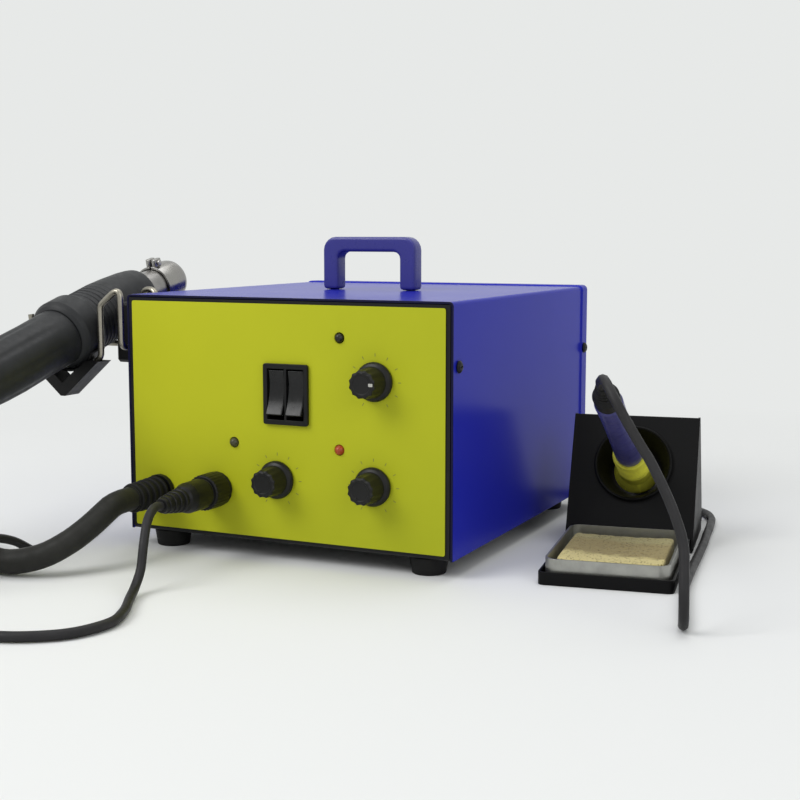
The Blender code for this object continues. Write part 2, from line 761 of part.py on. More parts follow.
def cover_section(rise, y):
    """The cover's section at one depth: the outer face raised by rise, then the inner face."""
    half, top, radius = CASE_WIDTH / 2, CASE_TOP, COVER_FOLD_RADIUS
    inner_radius = radius - COVER_SHEET
    outer = [(-half - rise, CASE_BOTTOM)]
    outer += arc((-half + radius, top - radius), radius + rise, 180, 90, 4)
    outer += arc((half - radius, top - radius), radius + rise, 90, 0, 4)
    outer += [(half + rise, CASE_BOTTOM)]
    inner = [(half - COVER_SHEET, CASE_BOTTOM)]
    inner += arc((half - radius, top - radius), inner_radius, 0, 90, 4)
    inner += arc((-half + radius, top - radius), inner_radius, 90, 180, 4)
    inner += [(-half + COVER_SHEET, CASE_BOTTOM)]
    return [(x, y, z) for x, z in outer + inner]


def make_cover():
    """Folded sheet over the top and both sides, with a raised hem at the rear."""
    stations = [
        (0.0, 0.0),
        (0.0, CASE_DEPTH - HEM_LENGTH - HEM_RISE),
        (HEM_RISE, CASE_DEPTH - HEM_LENGTH),
        (HEM_RISE, CASE_DEPTH),
    ]
    bm = bmesh.new()
    loops = [[bm.verts.new(point) for point in cover_section(rise, y)] for rise, y in stations]
    count = len(loops[0])
    for near, far in zip(loops, loops[1:]):
        for k in range(count):
            bm.faces.new((near[k], near[(k + 1) % count], far[(k + 1) % count], far[k]))
    bm.faces.new(loops[0])
    bm.faces.new(loops[-1])
    cover = solid("cover", bm, "cover_blue")
    cut(cover, helper("cover front holes", side_screw_holes(SCREW_FRONT_Y, SCREW_FRONT_HEIGHT)))
    cut(cover, helper("cover rear holes", side_screw_holes(SCREW_REAR_Y, SCREW_REAR_HEIGHT)))
    studs = bmesh.new()
    for x in handle_post_places():
        add_cylinder(studs, STUD_RADIUS + HOLE_CLEARANCE, CASE_TOP - THROUGH, CASE_TOP + THROUGH, (x, CASE_DEPTH / 2))
    return cut(cover, helper("handle stud holes", studs))


def make_rear_panel():
    """Flat panel between the cover's walls, with side flanges for the screws, a foot on the pan and vent slots."""
    half = PANEL_WIDTH / 2
    front, back = CASE_DEPTH - CHASSIS_SHEET, CASE_DEPTH
    panel = solid(
        "rear_panel", box((-half, front, CASE_BOTTOM), (half, back, PANEL_TOP)), "chassis_black"
    )
    for side in (-1, 1):
        low_x, high_x = sorted((side * (half - CHASSIS_SHEET), side * half))
        tab = box(
            (low_x, front - FLANGE_LENGTH, PAN_TOP + GAP),
            (high_x, front + CHASSIS_SHEET / 2, PANEL_TOP - FOLD_RADIUS),
        )
        fuse(panel, helper(f"rear flange {side}", tab))
    ledge = box(
        (-half + 4 * CHASSIS_SHEET, front - FLANGE_LENGTH, PAN_TOP + GAP),
        (half - 4 * CHASSIS_SHEET, front + CHASSIS_SHEET / 2, PAN_TOP + GAP + CHASSIS_SHEET),
    )
    fuse(panel, helper("rear foot", ledge))
    holes = bmesh.new()
    for slot in range(VENT_SLOTS):
        x = VENT_X + (slot - (VENT_SLOTS - 1) / 2) * VENT_PITCH
        outline = rounded_rectangle(
            VENT_SLOT_WIDTH, VENT_SLOT_HEIGHT, VENT_SLOT_WIDTH * 0.49, (x, CASE_BOTTOM + VENT_Z), steps=2
        )
        add_prism(holes, outline, front - THROUGH, back + THROUGH, "XZ")
    width, height = INLET_WIDTH + 2 * HOLE_CLEARANCE, INLET_HEIGHT + 2 * HOLE_CLEARANCE
    middle = CASE_BOTTOM + INLET_Z
    add_box(
        holes,
        (INLET_X - width / 2, front - THROUGH, middle - height / 2),
        (INLET_X + width / 2, back + THROUGH, middle + height / 2),
    )
    bmesh.ops.recalc_face_normals(holes, faces=holes.faces)
    cut(panel, helper("rear panel holes", holes))
    return cut(panel, helper("rear screw holes", side_screw_holes(SCREW_REAR_Y, SCREW_REAR_HEIGHT)))


def make_inlet():
    """Mains inlet with a fuse drawer above its recess and three blades inside."""
    middle = CASE_BOTTOM + INLET_Z
    back = CASE_DEPTH + GAP
    outline = rounded_rectangle(
        INLET_WIDTH + 2 * INLET_FLANGE, INLET_HEIGHT + 2 * INLET_FLANGE, 0.002, (INLET_X, middle)
    )
    inlet = solid("mains_inlet", prism(outline, back, back + INLET_FLANGE_SHEET, "XZ"), "plastic_black")
    body = box(
        (INLET_X - INLET_WIDTH / 2, CASE_DEPTH - INLET_DEPTH, middle - INLET_HEIGHT / 2),
        (INLET_X + INLET_WIDTH / 2, back + INLET_FLANGE_SHEET / 2, middle + INLET_HEIGHT / 2),
    )
    fuse(inlet, helper("inlet body", body))
    recess_width, recess_height, recess_depth = INLET_RECESS
    recess_middle = middle - (INLET_HEIGHT - recess_height) / 2 + 0.0014
    mouth = back + INLET_FLANGE_SHEET
    recess = box(
        (INLET_X - recess_width / 2, mouth - recess_depth, recess_middle - recess_height / 2),
        (INLET_X + recess_width / 2, mouth + THROUGH, recess_middle + recess_height / 2),
    )
    cut(inlet, helper("inlet recess", recess))
    blades = bmesh.new()
    thick, tall = BLADE_SIZE
    for offset, lift in ((-BLADE_PITCH, -BLADE_LIFT), (0, BLADE_LIFT), (BLADE_PITCH, -BLADE_LIFT)):
        add_box(
            blades,
            (INLET_X + offset - thick / 2, mouth - recess_depth - 0.001, recess_middle + lift - tall / 2),
            (INLET_X + offset + thick / 2, mouth - BLADE_INSET, recess_middle + lift + tall / 2),
        )
    fuse(inlet, helper("inlet blades", blades))
    drawer_width, drawer_height, drawer_rise = FUSE_DRAWER
    drawer_middle = middle + INLET_HEIGHT / 2 - drawer_height / 2 - 0.0014
    drawer = box(
        (INLET_X - drawer_width / 2, mouth - 0.001, drawer_middle - drawer_height / 2),
        (INLET_X + drawer_width / 2, mouth + drawer_rise, drawer_middle + drawer_height / 2),
    )
    return fuse(inlet, helper("fuse drawer", drawer))


def handle_post_places():
    reach = HANDLE_WIDTH / 2 - HANDLE_POST / 2
    return (-reach, reach)


def make_handle():
    """Moulded grip bar on two posts, each with a stud through the cover."""
    half, low = HANDLE_WIDTH / 2, CASE_TOP + GAP
    high = CASE_TOP + HANDLE_RISE
    inner_half, inner_high = half - HANDLE_POST, high - HANDLE_BAR
    outline = [(-half, low)]
    outline += arc((-half + HANDLE_OUTER_RADIUS, high - HANDLE_OUTER_RADIUS), HANDLE_OUTER_RADIUS, 180, 90, 5)
    outline += arc((half - HANDLE_OUTER_RADIUS, high - HANDLE_OUTER_RADIUS), HANDLE_OUTER_RADIUS, 90, 0, 5)
    outline += [(half, low), (inner_half, low)]
    radius = HANDLE_INNER_RADIUS
    outline += arc((inner_half - radius, inner_high - radius), radius, 0, 90, 4)
    outline += arc((-inner_half + radius, inner_high - radius), radius, 90, 180, 4)
    outline += [(-inner_half, low)]
    front = CASE_DEPTH / 2 - HANDLE_DEPTH / 2
    handle = solid("carry_handle", prism(outline, front, front + HANDLE_DEPTH, "XZ"), "cover_blue")
    bevel(handle, HANDLE_EDGE, 2, 50)
    studs = bmesh.new()
    for x in handle_post_places():
        add_cylinder(studs, STUD_RADIUS, CASE_TOP - STUD_LENGTH, CASE_TOP + 2 * STUD_RADIUS, (x, CASE_DEPTH / 2))
    return fuse(handle, helper("handle studs", studs))


def make_feet():
    """Four tapered rubber feet with a recess for their screws."""
    top = FOOT_HEIGHT - GAP
    profile = [
        (0, FOOT_RECESS_DEPTH),
        (FOOT_RECESS_RADIUS, FOOT_RECESS_DEPTH),
        (FOOT_RECESS_RADIUS, 0),
        (FOOT_BOTTOM_RADIUS - 0.0008, 0),
        (FOOT_BOTTOM_RADIUS, 0.0008),
        (FOOT_TOP_RADIUS, top),
        (0, top),
    ]
    side = CASE_WIDTH / 2 - FOOT_INSET_SIDE
    for name, x, y in (
        ("foot_front_left", -side, FOOT_INSET_FRONT),
        ("foot_front_right", side, FOOT_INSET_FRONT),
        ("foot_rear_left", -side, CASE_DEPTH - FOOT_INSET_REAR),
        ("foot_rear_right", side, CASE_DEPTH - FOOT_INSET_REAR),
    ):
        solid(name, turned(profile, steps=18), "rubber_black", at=(x, y, 0))


def make_cover_screws():
    """Pan head screws through the cover's walls into the flanges behind them."""
    head, shank = SCREW_HEAD_RADIUS, SCREW_SHANK_RADIUS
    profile = [
        (0, SCREW_HEAD_HEIGHT),
        (head * 0.62, SCREW_HEAD_HEIGHT),
        (head, SCREW_HEAD_HEIGHT * 0.4),
        (head, 0),
        (shank, 0),
        (shank, -SCREW_LENGTH),
        (0, -SCREW_LENGTH),
    ]
    for end, y, height, rise in (
        ("front", SCREW_FRONT_Y, SCREW_FRONT_HEIGHT, 0.0),
        ("rear", SCREW_REAR_Y, SCREW_REAR_HEIGHT, HEM_RISE),
    ):
        for side, sign in (("left", -1), ("right", 1)):
            solid(
                f"cover_screw_{end}_{side}",
                turned(profile, steps=12),
                "chassis_black",
                at=(sign * (CASE_WIDTH / 2 + rise + GAP), y, CASE_BOTTOM + height),
                turn=(0, sign * math.pi / 2, 0),
            )


def rocker_places():
    return {"left": SWITCH_X - ROCKER_SPACING / 2, "right": SWITCH_X + ROCKER_SPACING / 2}


def make_switch():
    """Bezel and body in one moulding, with a pocket for each rocker."""
    middle = CASE_BOTTOM + SWITCH_Z
    lap = OVERLAY_FRONT + GAP
    front = lap + BEZEL_RISE
    outline = rounded_rectangle(BEZEL_WIDTH, BEZEL_HEIGHT, 0.0012, (SWITCH_X, middle))
    housing = solid("power_switch_housing", prism(outline, -front, -lap, "XZ"), "plastic_black")
    half_width, half_height = BEZEL_WIDTH / 2 - BEZEL_LAP, BEZEL_HEIGHT / 2 - BEZEL_LAP
    body = box(
        (SWITCH_X - half_width, -lap - BEZEL_RISE / 2, middle - half_height),
        (SWITCH_X + half_width, SWITCH_BODY_DEPTH, middle + half_height),
    )
    fuse(housing, helper("switch body", body))
    pockets = bmesh.new()
    reach = ROCKER_WIDTH / 2 + ROCKER_SIDE_GAP
    for x in rocker_places().values():
        add_box(
            pockets,
            (x - reach, -front - THROUGH, middle - ROCKER_HALF - ROCKER_END_GAP),
            (x + reach, ROCKER_PIVOT_Y + 0.0055, middle + ROCKER_HALF + ROCKER_END_GAP),
        )
    return cut(housing, helper("rocker pockets", pockets))


def make_rockers():
    """Each rocker has a hollowed face and turns about its own middle, behind the panel."""
    face, crown = ROCKER_RISE, ROCKER_RISE - ROCKER_CROWN
    outline = [
        (-face, ROCKER_HALF),
        (-crown - 0.0004, ROCKER_HALF * 0.45),
        (-crown, 0),
        (-crown - 0.0004, -ROCKER_HALF * 0.45),
        (-face, -ROCKER_HALF),
        (-0.0015, -ROCKER_HALF + 0.0002),
        (0.0030, -0.0042),
        (0.0042, -0.0020),
        (0.0042, 0.0020),
        (0.0030, 0.0042),
        (-0.0015, ROCKER_HALF - 0.0002),
    ]
    for side, x in rocker_places().items():
        rocker = solid(
            f"rocker_{side}",
            prism(outline, -ROCKER_WIDTH / 2, ROCKER_WIDTH / 2, "YZ"),
            "plastic_black",
            at=(x, ROCKER_PIVOT_Y, CASE_BOTTOM + SWITCH_Z),
            turn=(-ROCKER_TILT, 0, 0),
        )
        bevel(rocker, 0.0004, 1, 40)


def make_knobs():
    """Fluted pointer knobs; each one's shaft runs back into its potentiometer."""
    base = OVERLAY_FRONT + 2 * GAP
    top = base + KNOB_HEIGHT
    grip_base = base + KNOB_SKIRT_HEIGHT
    recess = base + NUT_HEIGHT + BUSHING_HEIGHT
    profile = [
        (0, top),
        (KNOB_GRIP_RADIUS * 0.80, top),
        (KNOB_GRIP_RADIUS - KNOB_GRIP_TAPER, top - 0.0009),
        (KNOB_GRIP_RADIUS, grip_base + 0.0004),
        (KNOB_SKIRT_RADIUS - 0.0010, grip_base - 0.0004),
        (KNOB_SKIRT_RADIUS, grip_base - 0.0016),
        (KNOB_SKIRT_RADIUS, base),
        (NUT_RADIUS + 2 * GAP, base),
        (NUT_RADIUS + 2 * GAP, recess),
        (SHAFT_RADIUS, recess),
        (SHAFT_RADIUS, -SHAFT_DEPTH),
        (0, -SHAFT_DEPTH),
    ]
    for name, (x, z) in KNOB_PLACES.items():
        solid(
            f"knob_{name}",
            turned(profile, steps=36, flutes=KNOB_FLUTES, depth=KNOB_FLUTE_DEPTH, fluted=(1, 2, 3)),
            "plastic_black",
            at=(x, 0, CASE_BOTTOM + z),
            turn=OUT_OF_PANEL,
        )


def make_potentiometers():
    """Body behind the panel, bushing through it and a nut in front, with a bore for the knob's shaft."""
    behind = -CHASSIS_SHEET - GAP
    nut_base = OVERLAY_FRONT + GAP
    bore = SHAFT_RADIUS + GAP
    profile = [
        (0, -SHAFT_DEPTH - GAP),
        (bore, -SHAFT_DEPTH - GAP),
        (bore, nut_base + BUSHING_HEIGHT),
        (BUSHING_RADIUS, nut_base + BUSHING_HEIGHT),
        (BUSHING_RADIUS, nut_base + NUT_HEIGHT),
        (NUT_RADIUS, nut_base + NUT_HEIGHT),
        (NUT_RADIUS, nut_base),
        (BUSHING_RADIUS, nut_base),
        (BUSHING_RADIUS, behind),
        (POT_RADIUS, behind),
        (POT_RADIUS, behind - POT_DEPTH),
        (0, behind - POT_DEPTH),
    ]
    for name, (x, z) in KNOB_PLACES.items():
        solid(
            f"potentiometer_{name}",
            turned(profile, steps=14),
            "core_steel",
            at=(x, 0, CASE_BOTTOM + z),
            turn=OUT_OF_PANEL,
        )


def make_lamps():
    """Round indicator lamps with a flange behind the panel."""
    behind = -CHASSIS_SHEET - GAP
    radius, front = LAMP_RADIUS, OVERLAY_FRONT
    profile = [
        (0, front + LAMP_RISE),
        (radius * 0.55, front + LAMP_RISE * 0.85),
        (radius * 0.90, front + LAMP_RISE * 0.45),
        (radius, front),
        (radius, behind),
        (radius + LAMP_FLANGE, behind),
        (radius + LAMP_FLANGE, behind - 0.001),
        (radius, behind - 0.001),
        (radius, -LAMP_DEPTH),
        (0, -LAMP_DEPTH),
    ]
    colours = {"hot_air": "lamp_dark", "iron": "lamp_red", "power": "lamp_smoke"}
    for name, (x, z) in LAMP_PLACES.items():
        solid(
            f"lamp_{name}",
            turned(profile, steps=12),
            colours[name],
            at=(x, 0, CASE_BOTTOM + z),
            turn=OUT_OF_PANEL,
        )


def hose_start():
    """Where the hose leaves its boot, in front of the panel."""
    lap = OVERLAY_FRONT + GAP
    return lap + OUTLET_NUT_HEIGHT + GAP + BOOT_LENGTH


def make_air_outlet():
    """Panel fitting for the hose: a nut and tube in front, a nut and spigot behind, bored through."""
    lap = OVERLAY_FRONT + GAP
    behind = -CHASSIS_SHEET - GAP
    tube, bore = OUTLET_TUBE_RADIUS, OUTLET_BORE_RADIUS
    back_nut = tube + 0.0018
    spigot = bore + 0.0008
    profile = [
        (bore, lap + OUTLET_TUBE_LENGTH),
        (tube, lap + OUTLET_TUBE_LENGTH),
        (tube, lap + OUTLET_NUT_HEIGHT),
        (OUTLET_NUT_RADIUS, lap + OUTLET_NUT_HEIGHT),
        (OUTLET_NUT_RADIUS, lap),
        (tube, lap),
        (tube, behind),
        (back_nut, behind),
        (back_nut, behind - 0.004),
        (spigot, behind - 0.004),
        (spigot, behind - OUTLET_SPIGOT_LENGTH),
        (bore, behind - OUTLET_SPIGOT_LENGTH),
    ]
    return solid(
        "air_outlet",
        turned(profile, steps=16, closed=True),
        "plastic_black",
        at=(OUTLET_X, 0, CASE_BOTTOM + OUTLET_Z),
        turn=OUT_OF_PANEL,
    )


def ribbed_taper(start, end, first, last, ribs, groove):
    """Profile points of a strain relief: a taper with grooves between its ribs."""
    points = []
    for rib in range(ribs):
        near = start + (end - start) * rib / ribs
        far = start + (end - start) * (rib + 0.62) / ribs
        ahead = start + (end - start) * (rib + 1) / ribs
        radius = first + (last - first) * rib / ribs
        points += [(radius, near), (radius, far), (radius - groove, far), (radius - groove, ahead)]
    return points


def make_hose_boot():
    """Rubber boot over the outlet's tube, from which the hose leaves."""
    start = OVERLAY_FRONT + GAP + OUTLET_NUT_HEIGHT + GAP
    bore = OUTLET_TUBE_RADIUS + GAP
    bottom = OVERLAY_FRONT + GAP + OUTLET_TUBE_LENGTH + GAP
    profile = [(0, bottom), (bore, bottom), (bore, start)]
    profile += ribbed_taper(start, start + BOOT_LENGTH, bore + BOOT_WALL, HOSE_RADIUS + 0.0006, 5, 0.0006)
    profile += [(0, start + BOOT_LENGTH)]
    return solid(
        "hose_boot",
        turned(profile, steps=14),
        "rubber_black",
        at=(OUTLET_X, 0, CASE_BOTTOM + OUTLET_Z),
        turn=OUT_OF_PANEL,
    )


def make_iron_socket():
    """Round panel socket: flange and threaded collar in front, body behind, bored for the plug's nose."""
    lap = OVERLAY_FRONT + GAP
    behind = -CHASSIS_SHEET - GAP
    collar, bore = SOCKET_COLLAR_RADIUS, SOCKET_BORE_RADIUS
    body = collar + 0.0008
    profile = [
        (0, lap),
        (bore, lap),
        (bore, lap + SOCKET_COLLAR_HEIGHT),
        (collar, lap + SOCKET_COLLAR_HEIGHT),
        (collar, lap + SOCKET_FLANGE_HEIGHT),
        (SOCKET_FLANGE_RADIUS, lap + SOCKET_FLANGE_HEIGHT),
        (SOCKET_FLANGE_RADIUS, lap),
        (collar, lap),
        (collar, behind),
        (body, behind),
        (body, behind - SOCKET_BODY_DEPTH),
        (0, behind - SOCKET_BODY_DEPTH),
    ]
    return solid(
        "iron_socket",
        turned(profile, steps=16),
        "plastic_black",
        at=(SOCKET_X, 0, CASE_BOTTOM + SOCKET_Z),
        turn=OUT_OF_PANEL,
    )


def plug_end():
    lap = OVERLAY_FRONT + GAP
    return lap + SOCKET_FLANGE_HEIGHT + GAP + PLUG_RING_LENGTH + PLUG_BODY_LENGTH + PLUG_TAIL_LENGTH


def make_iron_plug():
    """Plug with its coupling ring over the socket's collar, its nose in the bore and a ribbed tail."""
    lap = OVERLAY_FRONT + GAP
    ring_base = lap + SOCKET_FLANGE_HEIGHT + GAP
    ring_end = ring_base + PLUG_RING_LENGTH
    body_end = ring_end + PLUG_BODY_LENGTH
    shelf = lap + SOCKET_COLLAR_HEIGHT + GAP
    nose = SOCKET_BORE_RADIUS - GAP
    profile = [
        (0, lap + GAP),
        (nose, lap + GAP),
        (nose, shelf),
        (SOCKET_COLLAR_RADIUS + GAP, shelf),
        (SOCKET_COLLAR_RADIUS + GAP, ring_base),
        (PLUG_RING_RADIUS, ring_base),
        (PLUG_RING_RADIUS, ring_end - 0.0008),
        (PLUG_RING_RADIUS - 0.0008, ring_end),
        (PLUG_BODY_RADIUS - 0.0006, ring_end),
        (PLUG_BODY_RADIUS, ring_end + 0.001),
        (PLUG_BODY_RADIUS - 0.0004, body_end),
    ]
    profile += ribbed_taper(body_end, plug_end(), PLUG_TAIL_RADIUS, IRON_CORD_RADIUS + 0.0012, 3, 0.0006)
    profile += [(0, plug_end())]
    return solid(
        "iron_plug",
        turned(profile, steps=20, flutes=10, depth=0.0003, fluted=(5, 6)),
        "plastic_black",
        at=(SOCKET_X, 0, CASE_BOTTOM + SOCKET_Z),
        turn=OUT_OF_PANEL,
    )


def make_transformer():
    """Laminated core on edge with its winding through it, on the pan."""
    width, depth, height = TRANSFORMER_SIZE
    x, y = TRANSFORMER_AT
    floor = PAN_TOP + GAP
    core = solid(
        "transformer",
        box((x - width / 2, y - depth / 2, floor), (x + width / 2, y + depth / 2, floor + height)),
        "core_steel",
    )
    coil_width, coil_depth, coil_height = COIL_SIZE
    middle = floor + height / 2
    coil = box(
        (x - coil_width / 2, y - coil_depth / 2, middle - coil_height / 2),
        (x + coil_width / 2, y + coil_depth / 2, middle + coil_height / 2),
    )
    winding = helper("winding", coil)
    bevel(winding, 0.004, 2)
    return fuse(core, winding)


def make_pump():
    """Diaphragm pump: a box with a round head on top and a port towards the front."""
    width, depth, height = PUMP_SIZE
    x, y = PUMP_AT
    floor = PAN_TOP + GAP
    pump = solid(
        "air_pump",
        box((x - width / 2, y - depth / 2, floor), (x + width / 2, y + depth / 2, floor + height)),
        "pump_zinc",
    )
    bevel(pump, 0.003, 2)
    head = bmesh.new()
    add_cylinder(head, PUMP_HEAD_RADIUS, floor + height - 0.002, floor + height + PUMP_HEAD_RISE, (x, y))
    fuse(pump, helper("pump head", head))
    port = bmesh.new()
    add_cylinder(port, PUMP_PORT_RADIUS, -0.002, PUMP_PORT_LENGTH, steps=16)
    return fuse(pump, helper("pump port", port, at=pump_port_root(), turn=OUT_OF_PANEL))


def pump_port_root():
    depth, height = PUMP_SIZE[1], PUMP_SIZE[2]
    return (PUMP_AT[0], PUMP_AT[1] - depth / 2, PAN_TOP + GAP + height * 0.45)


def make_air_tube():
    """Soft tube from the pump's port to the outlet's spigot."""
    port = Vector(pump_port_root()) - Y_AXIS * (PUMP_PORT_LENGTH + GAP)
    spigot = Vector((OUTLET_X, CHASSIS_SHEET + GAP + OUTLET_SPIGOT_LENGTH + GAP, CASE_BOTTOM + OUTLET_Z))
    leg = Y_AXIS * AIR_TUBE_STRAIGHT
    route = [port, port - leg, spigot + leg, spigot]
    return rod("air_tube", bent(route, AIR_TUBE_BEND, 5), AIR_TUBE_RADIUS, "air_tube_clear")


def make_board():
    """Circuit board on four standoffs, with its larger parts."""
    width, depth, sheet = BOARD_SIZE
    x, y = BOARD_AT
    floor = PAN_TOP + GAP
    level = floor + BOARD_STANDOFF
    board = solid(
        "circuit_board",
        box((x - width / 2, y - depth / 2, level), (x + width / 2, y + depth / 2, level + sheet)),
        "board_green",
    )
    legs = bmesh.new()
    for side_x in (-1, 1):
        for side_y in (-1, 1):
            corner = (x + side_x * (width / 2 - STANDOFF_INSET), y + side_y * (depth / 2 - STANDOFF_INSET))
            add_cylinder(legs, STANDOFF_RADIUS, floor, level + sheet / 2, corner, steps=10)
    fuse(board, helper("standoffs", legs))
    parts = bmesh.new()
    deck = level + sheet / 2
    for (radius, rise), across, along in ((LARGE_CAPACITOR, -0.30, 0.0), (SMALL_CAPACITOR, -0.11, 0.24)):
        add_cylinder(parts, radius, deck, level + rise, (x + across * width, y + along * depth), steps=14)
    for (part_width, part_depth, rise), across, along in ((HEAT_SINK, 0.24, -0.28), (CHIP, 0.05, -0.03)):
        part_x, part_y = x + across * width, y + along * depth
        add_box(
            parts,
            (part_x - part_width / 2, part_y - part_depth / 2, deck),
            (part_x + part_width / 2, part_y + part_depth / 2, level + rise),
        )
    return fuse(board, helper("board parts", parts))


def block_top():
    return CASE_BOTTOM + BLOCK_BOTTOM + BLOCK_HEIGHT


def make_holder_block():
    """Moulded block on the casing's left wall, drilled in front and on top for the two wires."""
    inner = LEFT_WALL - GAP
    outer = LEFT_WALL - BLOCK_THICKNESS
    block = solid(
        "holder_block",
        box((outer, BLOCK_FRONT, CASE_BOTTOM + BLOCK_BOTTOM), (inner, BLOCK_FRONT + BLOCK_LENGTH, block_top())),
        "plastic_black",
    )
    bevel(block, 0.0015, 1)
    front_hole, rear_hole = bmesh.new(), bmesh.new()
    reach = WIRE_RADIUS + GAP
    add_cylinder(front_hole, reach, -THROUGH, WIRE_LANDING, steps=16)
    cut(block, helper("front wire hole", front_hole, at=front_wire_root(), turn=ALONG_Y))
    add_cylinder(rear_hole, reach, -WIRE_LANDING, THROUGH, steps=16)
    return cut(block, helper("rear wire hole", rear_hole, at=rear_wire_root()))


def front_wire_root():
    """Where the front wire enters the block's front face."""
    return (LEFT_WALL - WIRE_ENTRY_INSET, BLOCK_FRONT, block_top() - WIRE_ENTRY_DEPTH)


def rear_wire_root():
    """Where the rear wire enters the block's top."""
    return (LEFT_WALL - BLOCK_THICKNESS / 2, BLOCK_FRONT + BLOCK_LENGTH - REAR_WIRE_INSET, block_top())


def gun_middle(y):
    """Height of the gun's axis above the surface, at this depth."""
    return CASE_BOTTOM + GUN_CENTRE[2] + (y - GUN_CENTRE[1]) * math.tan(GUN_SLOPE)


def cradle_angle():
    """Angle between each leg of the front wire's V and the upright."""
    around = (GUN_RING_RADIUS + GAP + SADDLE_SHEET) / math.cos(GUN_SLOPE)
    return math.asin((around + GAP + WIRE_RADIUS) / (GUN_CENTRE[2] - CRADLE_APEX))


def front_wire_path():
    """Middle line of the front wire's outer part, down beside the gun, round the V and up on its far side."""
    gun_x, y = GUN_CENTRE[0], GUN_CENTRE[1]
    reach = WIRE_DOWN_X - gun_x
    apex = CASE_BOTTOM + CRADLE_APEX
    knee = apex + reach / math.tan(cradle_angle())
    return [
        (WIRE_DOWN_X, y, knee),
        (gun_x, y, apex),
        (gun_x - reach, y, knee),
        (gun_x - reach - WIRE_END_FLARE, y, CASE_BOTTOM + GUN_CENTRE[2] + WIRE_END_RISE),
    ]


def make_front_wire():
    """Wire from the block's front up over its top, down beside the gun, round a V below it and up again."""
    root_x, root_y, root_z = front_wire_root()
    y = GUN_CENTRE[1]
    corners = [
        (root_x, root_y + WIRE_LANDING - GAP, root_z),
        (root_x, y, root_z),
        (root_x, y, block_top() + WIRE_ARCH),
        (WIRE_DOWN_X, y, block_top() - WIRE_RADIUS),
        *front_wire_path(),
    ]
    return rod("holder_wire_front", bent(corners, WIRE_BEND), WIRE_RADIUS, "wire_steel", sides=2)


def make_rear_wire():
    """Wire from the block that passes under the front of the gun's housing and turns up beyond it."""
    gun_x = GUN_CENTRE[0]
    root_x, root_y, root_z = rear_wire_root()
    y = root_y + 0.003
    reach = WIRE_DOWN_X - gun_x
    under = gun_middle(y) - (GUN_BODY_RADIUS + GAP) / math.cos(GUN_SLOPE) - WIRE_RADIUS - GAP
    corners = [
        (root_x, root_y, root_z - WIRE_LANDING + GAP),
        (root_x, root_y, root_z + REAR_WIRE_BEND),
        (WIRE_DOWN_X, y, root_z + REAR_WIRE_BEND - GAP),
        (WIRE_DOWN_X, y, under + REAR_WIRE_BEND),
        (WIRE_DOWN_X - 1.5 * REAR_WIRE_BEND, y, under),
        (gun_x - 0.6 * reach, y, under),
        (gun_x - reach, y, under + 1.5 * REAR_WIRE_BEND),
        (gun_x - reach, y, under + 3 * REAR_WIRE_BEND),
    ]
    return rod("holder_wire_rear", bent(corners, REAR_WIRE_BEND), WIRE_RADIUS, "wire_steel", sides=2)


def make_saddle(gun_axis):
    """Moulded cradle round the front wire's V, with a curved shelf in which the gun's raised ring lies."""
    inner = GUN_RING_RADIUS + GAP
    outer = inner + SADDLE_SHEET
    low = 270 - math.degrees(SADDLE_HALF_ANGLE)
    high = 270 + math.degrees(SADDLE_HALF_ANGLE)
    outline = arc((0, 0), outer, low, high, 10) + arc((0, 0), inner, high, low, 10)
    strip = prism(outline, -SADDLE_LENGTH / 2, SADDLE_LENGTH / 2, "XZ")
    saddle = solid("holder_saddle", strip, "plastic_black", parent=gun_axis)
    gun_x, y = GUN_CENTRE[0], GUN_CENTRE[1]
    angle = cradle_angle()
    round_wire = (WIRE_RADIUS + GAP + CRADLE_WALL) / math.sin(angle)
    apex, top = CASE_BOTTOM + CRADLE_APEX, CASE_BOTTOM + GUN_CENTRE[2] - CRADLE_TOP
    outer_half = (top - apex + round_wire) * math.tan(angle)
    inner_half = (top - apex - round_wire) * math.tan(angle)
    toe = apex - round_wire + CRADLE_TOE / math.tan(angle)
    web = [
        (gun_x - outer_half, top),
        (gun_x - CRADLE_TOE, toe),
        (gun_x + CRADLE_TOE, toe),
        (gun_x + outer_half, top),
        (gun_x + inner_half, top),
        (gun_x, apex + round_wire),
        (gun_x - inner_half, top),
    ]
    fuse(saddle, helper("cradle web", prism(web, y - CRADLE_HALF_LENGTH, y + CRADLE_HALF_LENGTH, "XZ")))
    ring = bmesh.new()
    add_cylinder(ring, inner, -THROUGH, THROUGH, steps=32)
    cut(saddle, helper("ring seat", ring, turn=ALONG_Y, parent=gun_axis))
    path = [(place[0], place[2]) for place in bent(front_wire_path(), WIRE_BEND)]
    reach = WIRE_RADIUS + GAP
    channel = prism(band(path, reach), y - reach, y + reach, "XZ")
    return cut(saddle, helper("wire channel", channel))


def band(path, half):
    """Outline of a strip of even width along a flat path."""
    sides = ([], [])
    for number, (x, z) in enumerate(path):
        before, after = path[max(number - 1, 0)], path[min(number + 1, len(path) - 1)]
        along = Vector((after[0] - before[0], after[1] - before[1])).normalized()
        sides[0].append((x - along.y * half, z + along.x * half))
        sides[1].append((x + along.y * half, z - along.x * half))
    return sides[0] + sides[1][::-1]


def gun_marks():
    """Places along the gun's axis of the joint behind its ring and of the grip's end."""
    joint = -GUN_RING_HALF - 0.0030
    return joint, joint - GUN_GRIP_LENGTH


def gun_boot_end():
    return gun_marks()[1] - GAP - GUN_BOOT_LENGTH


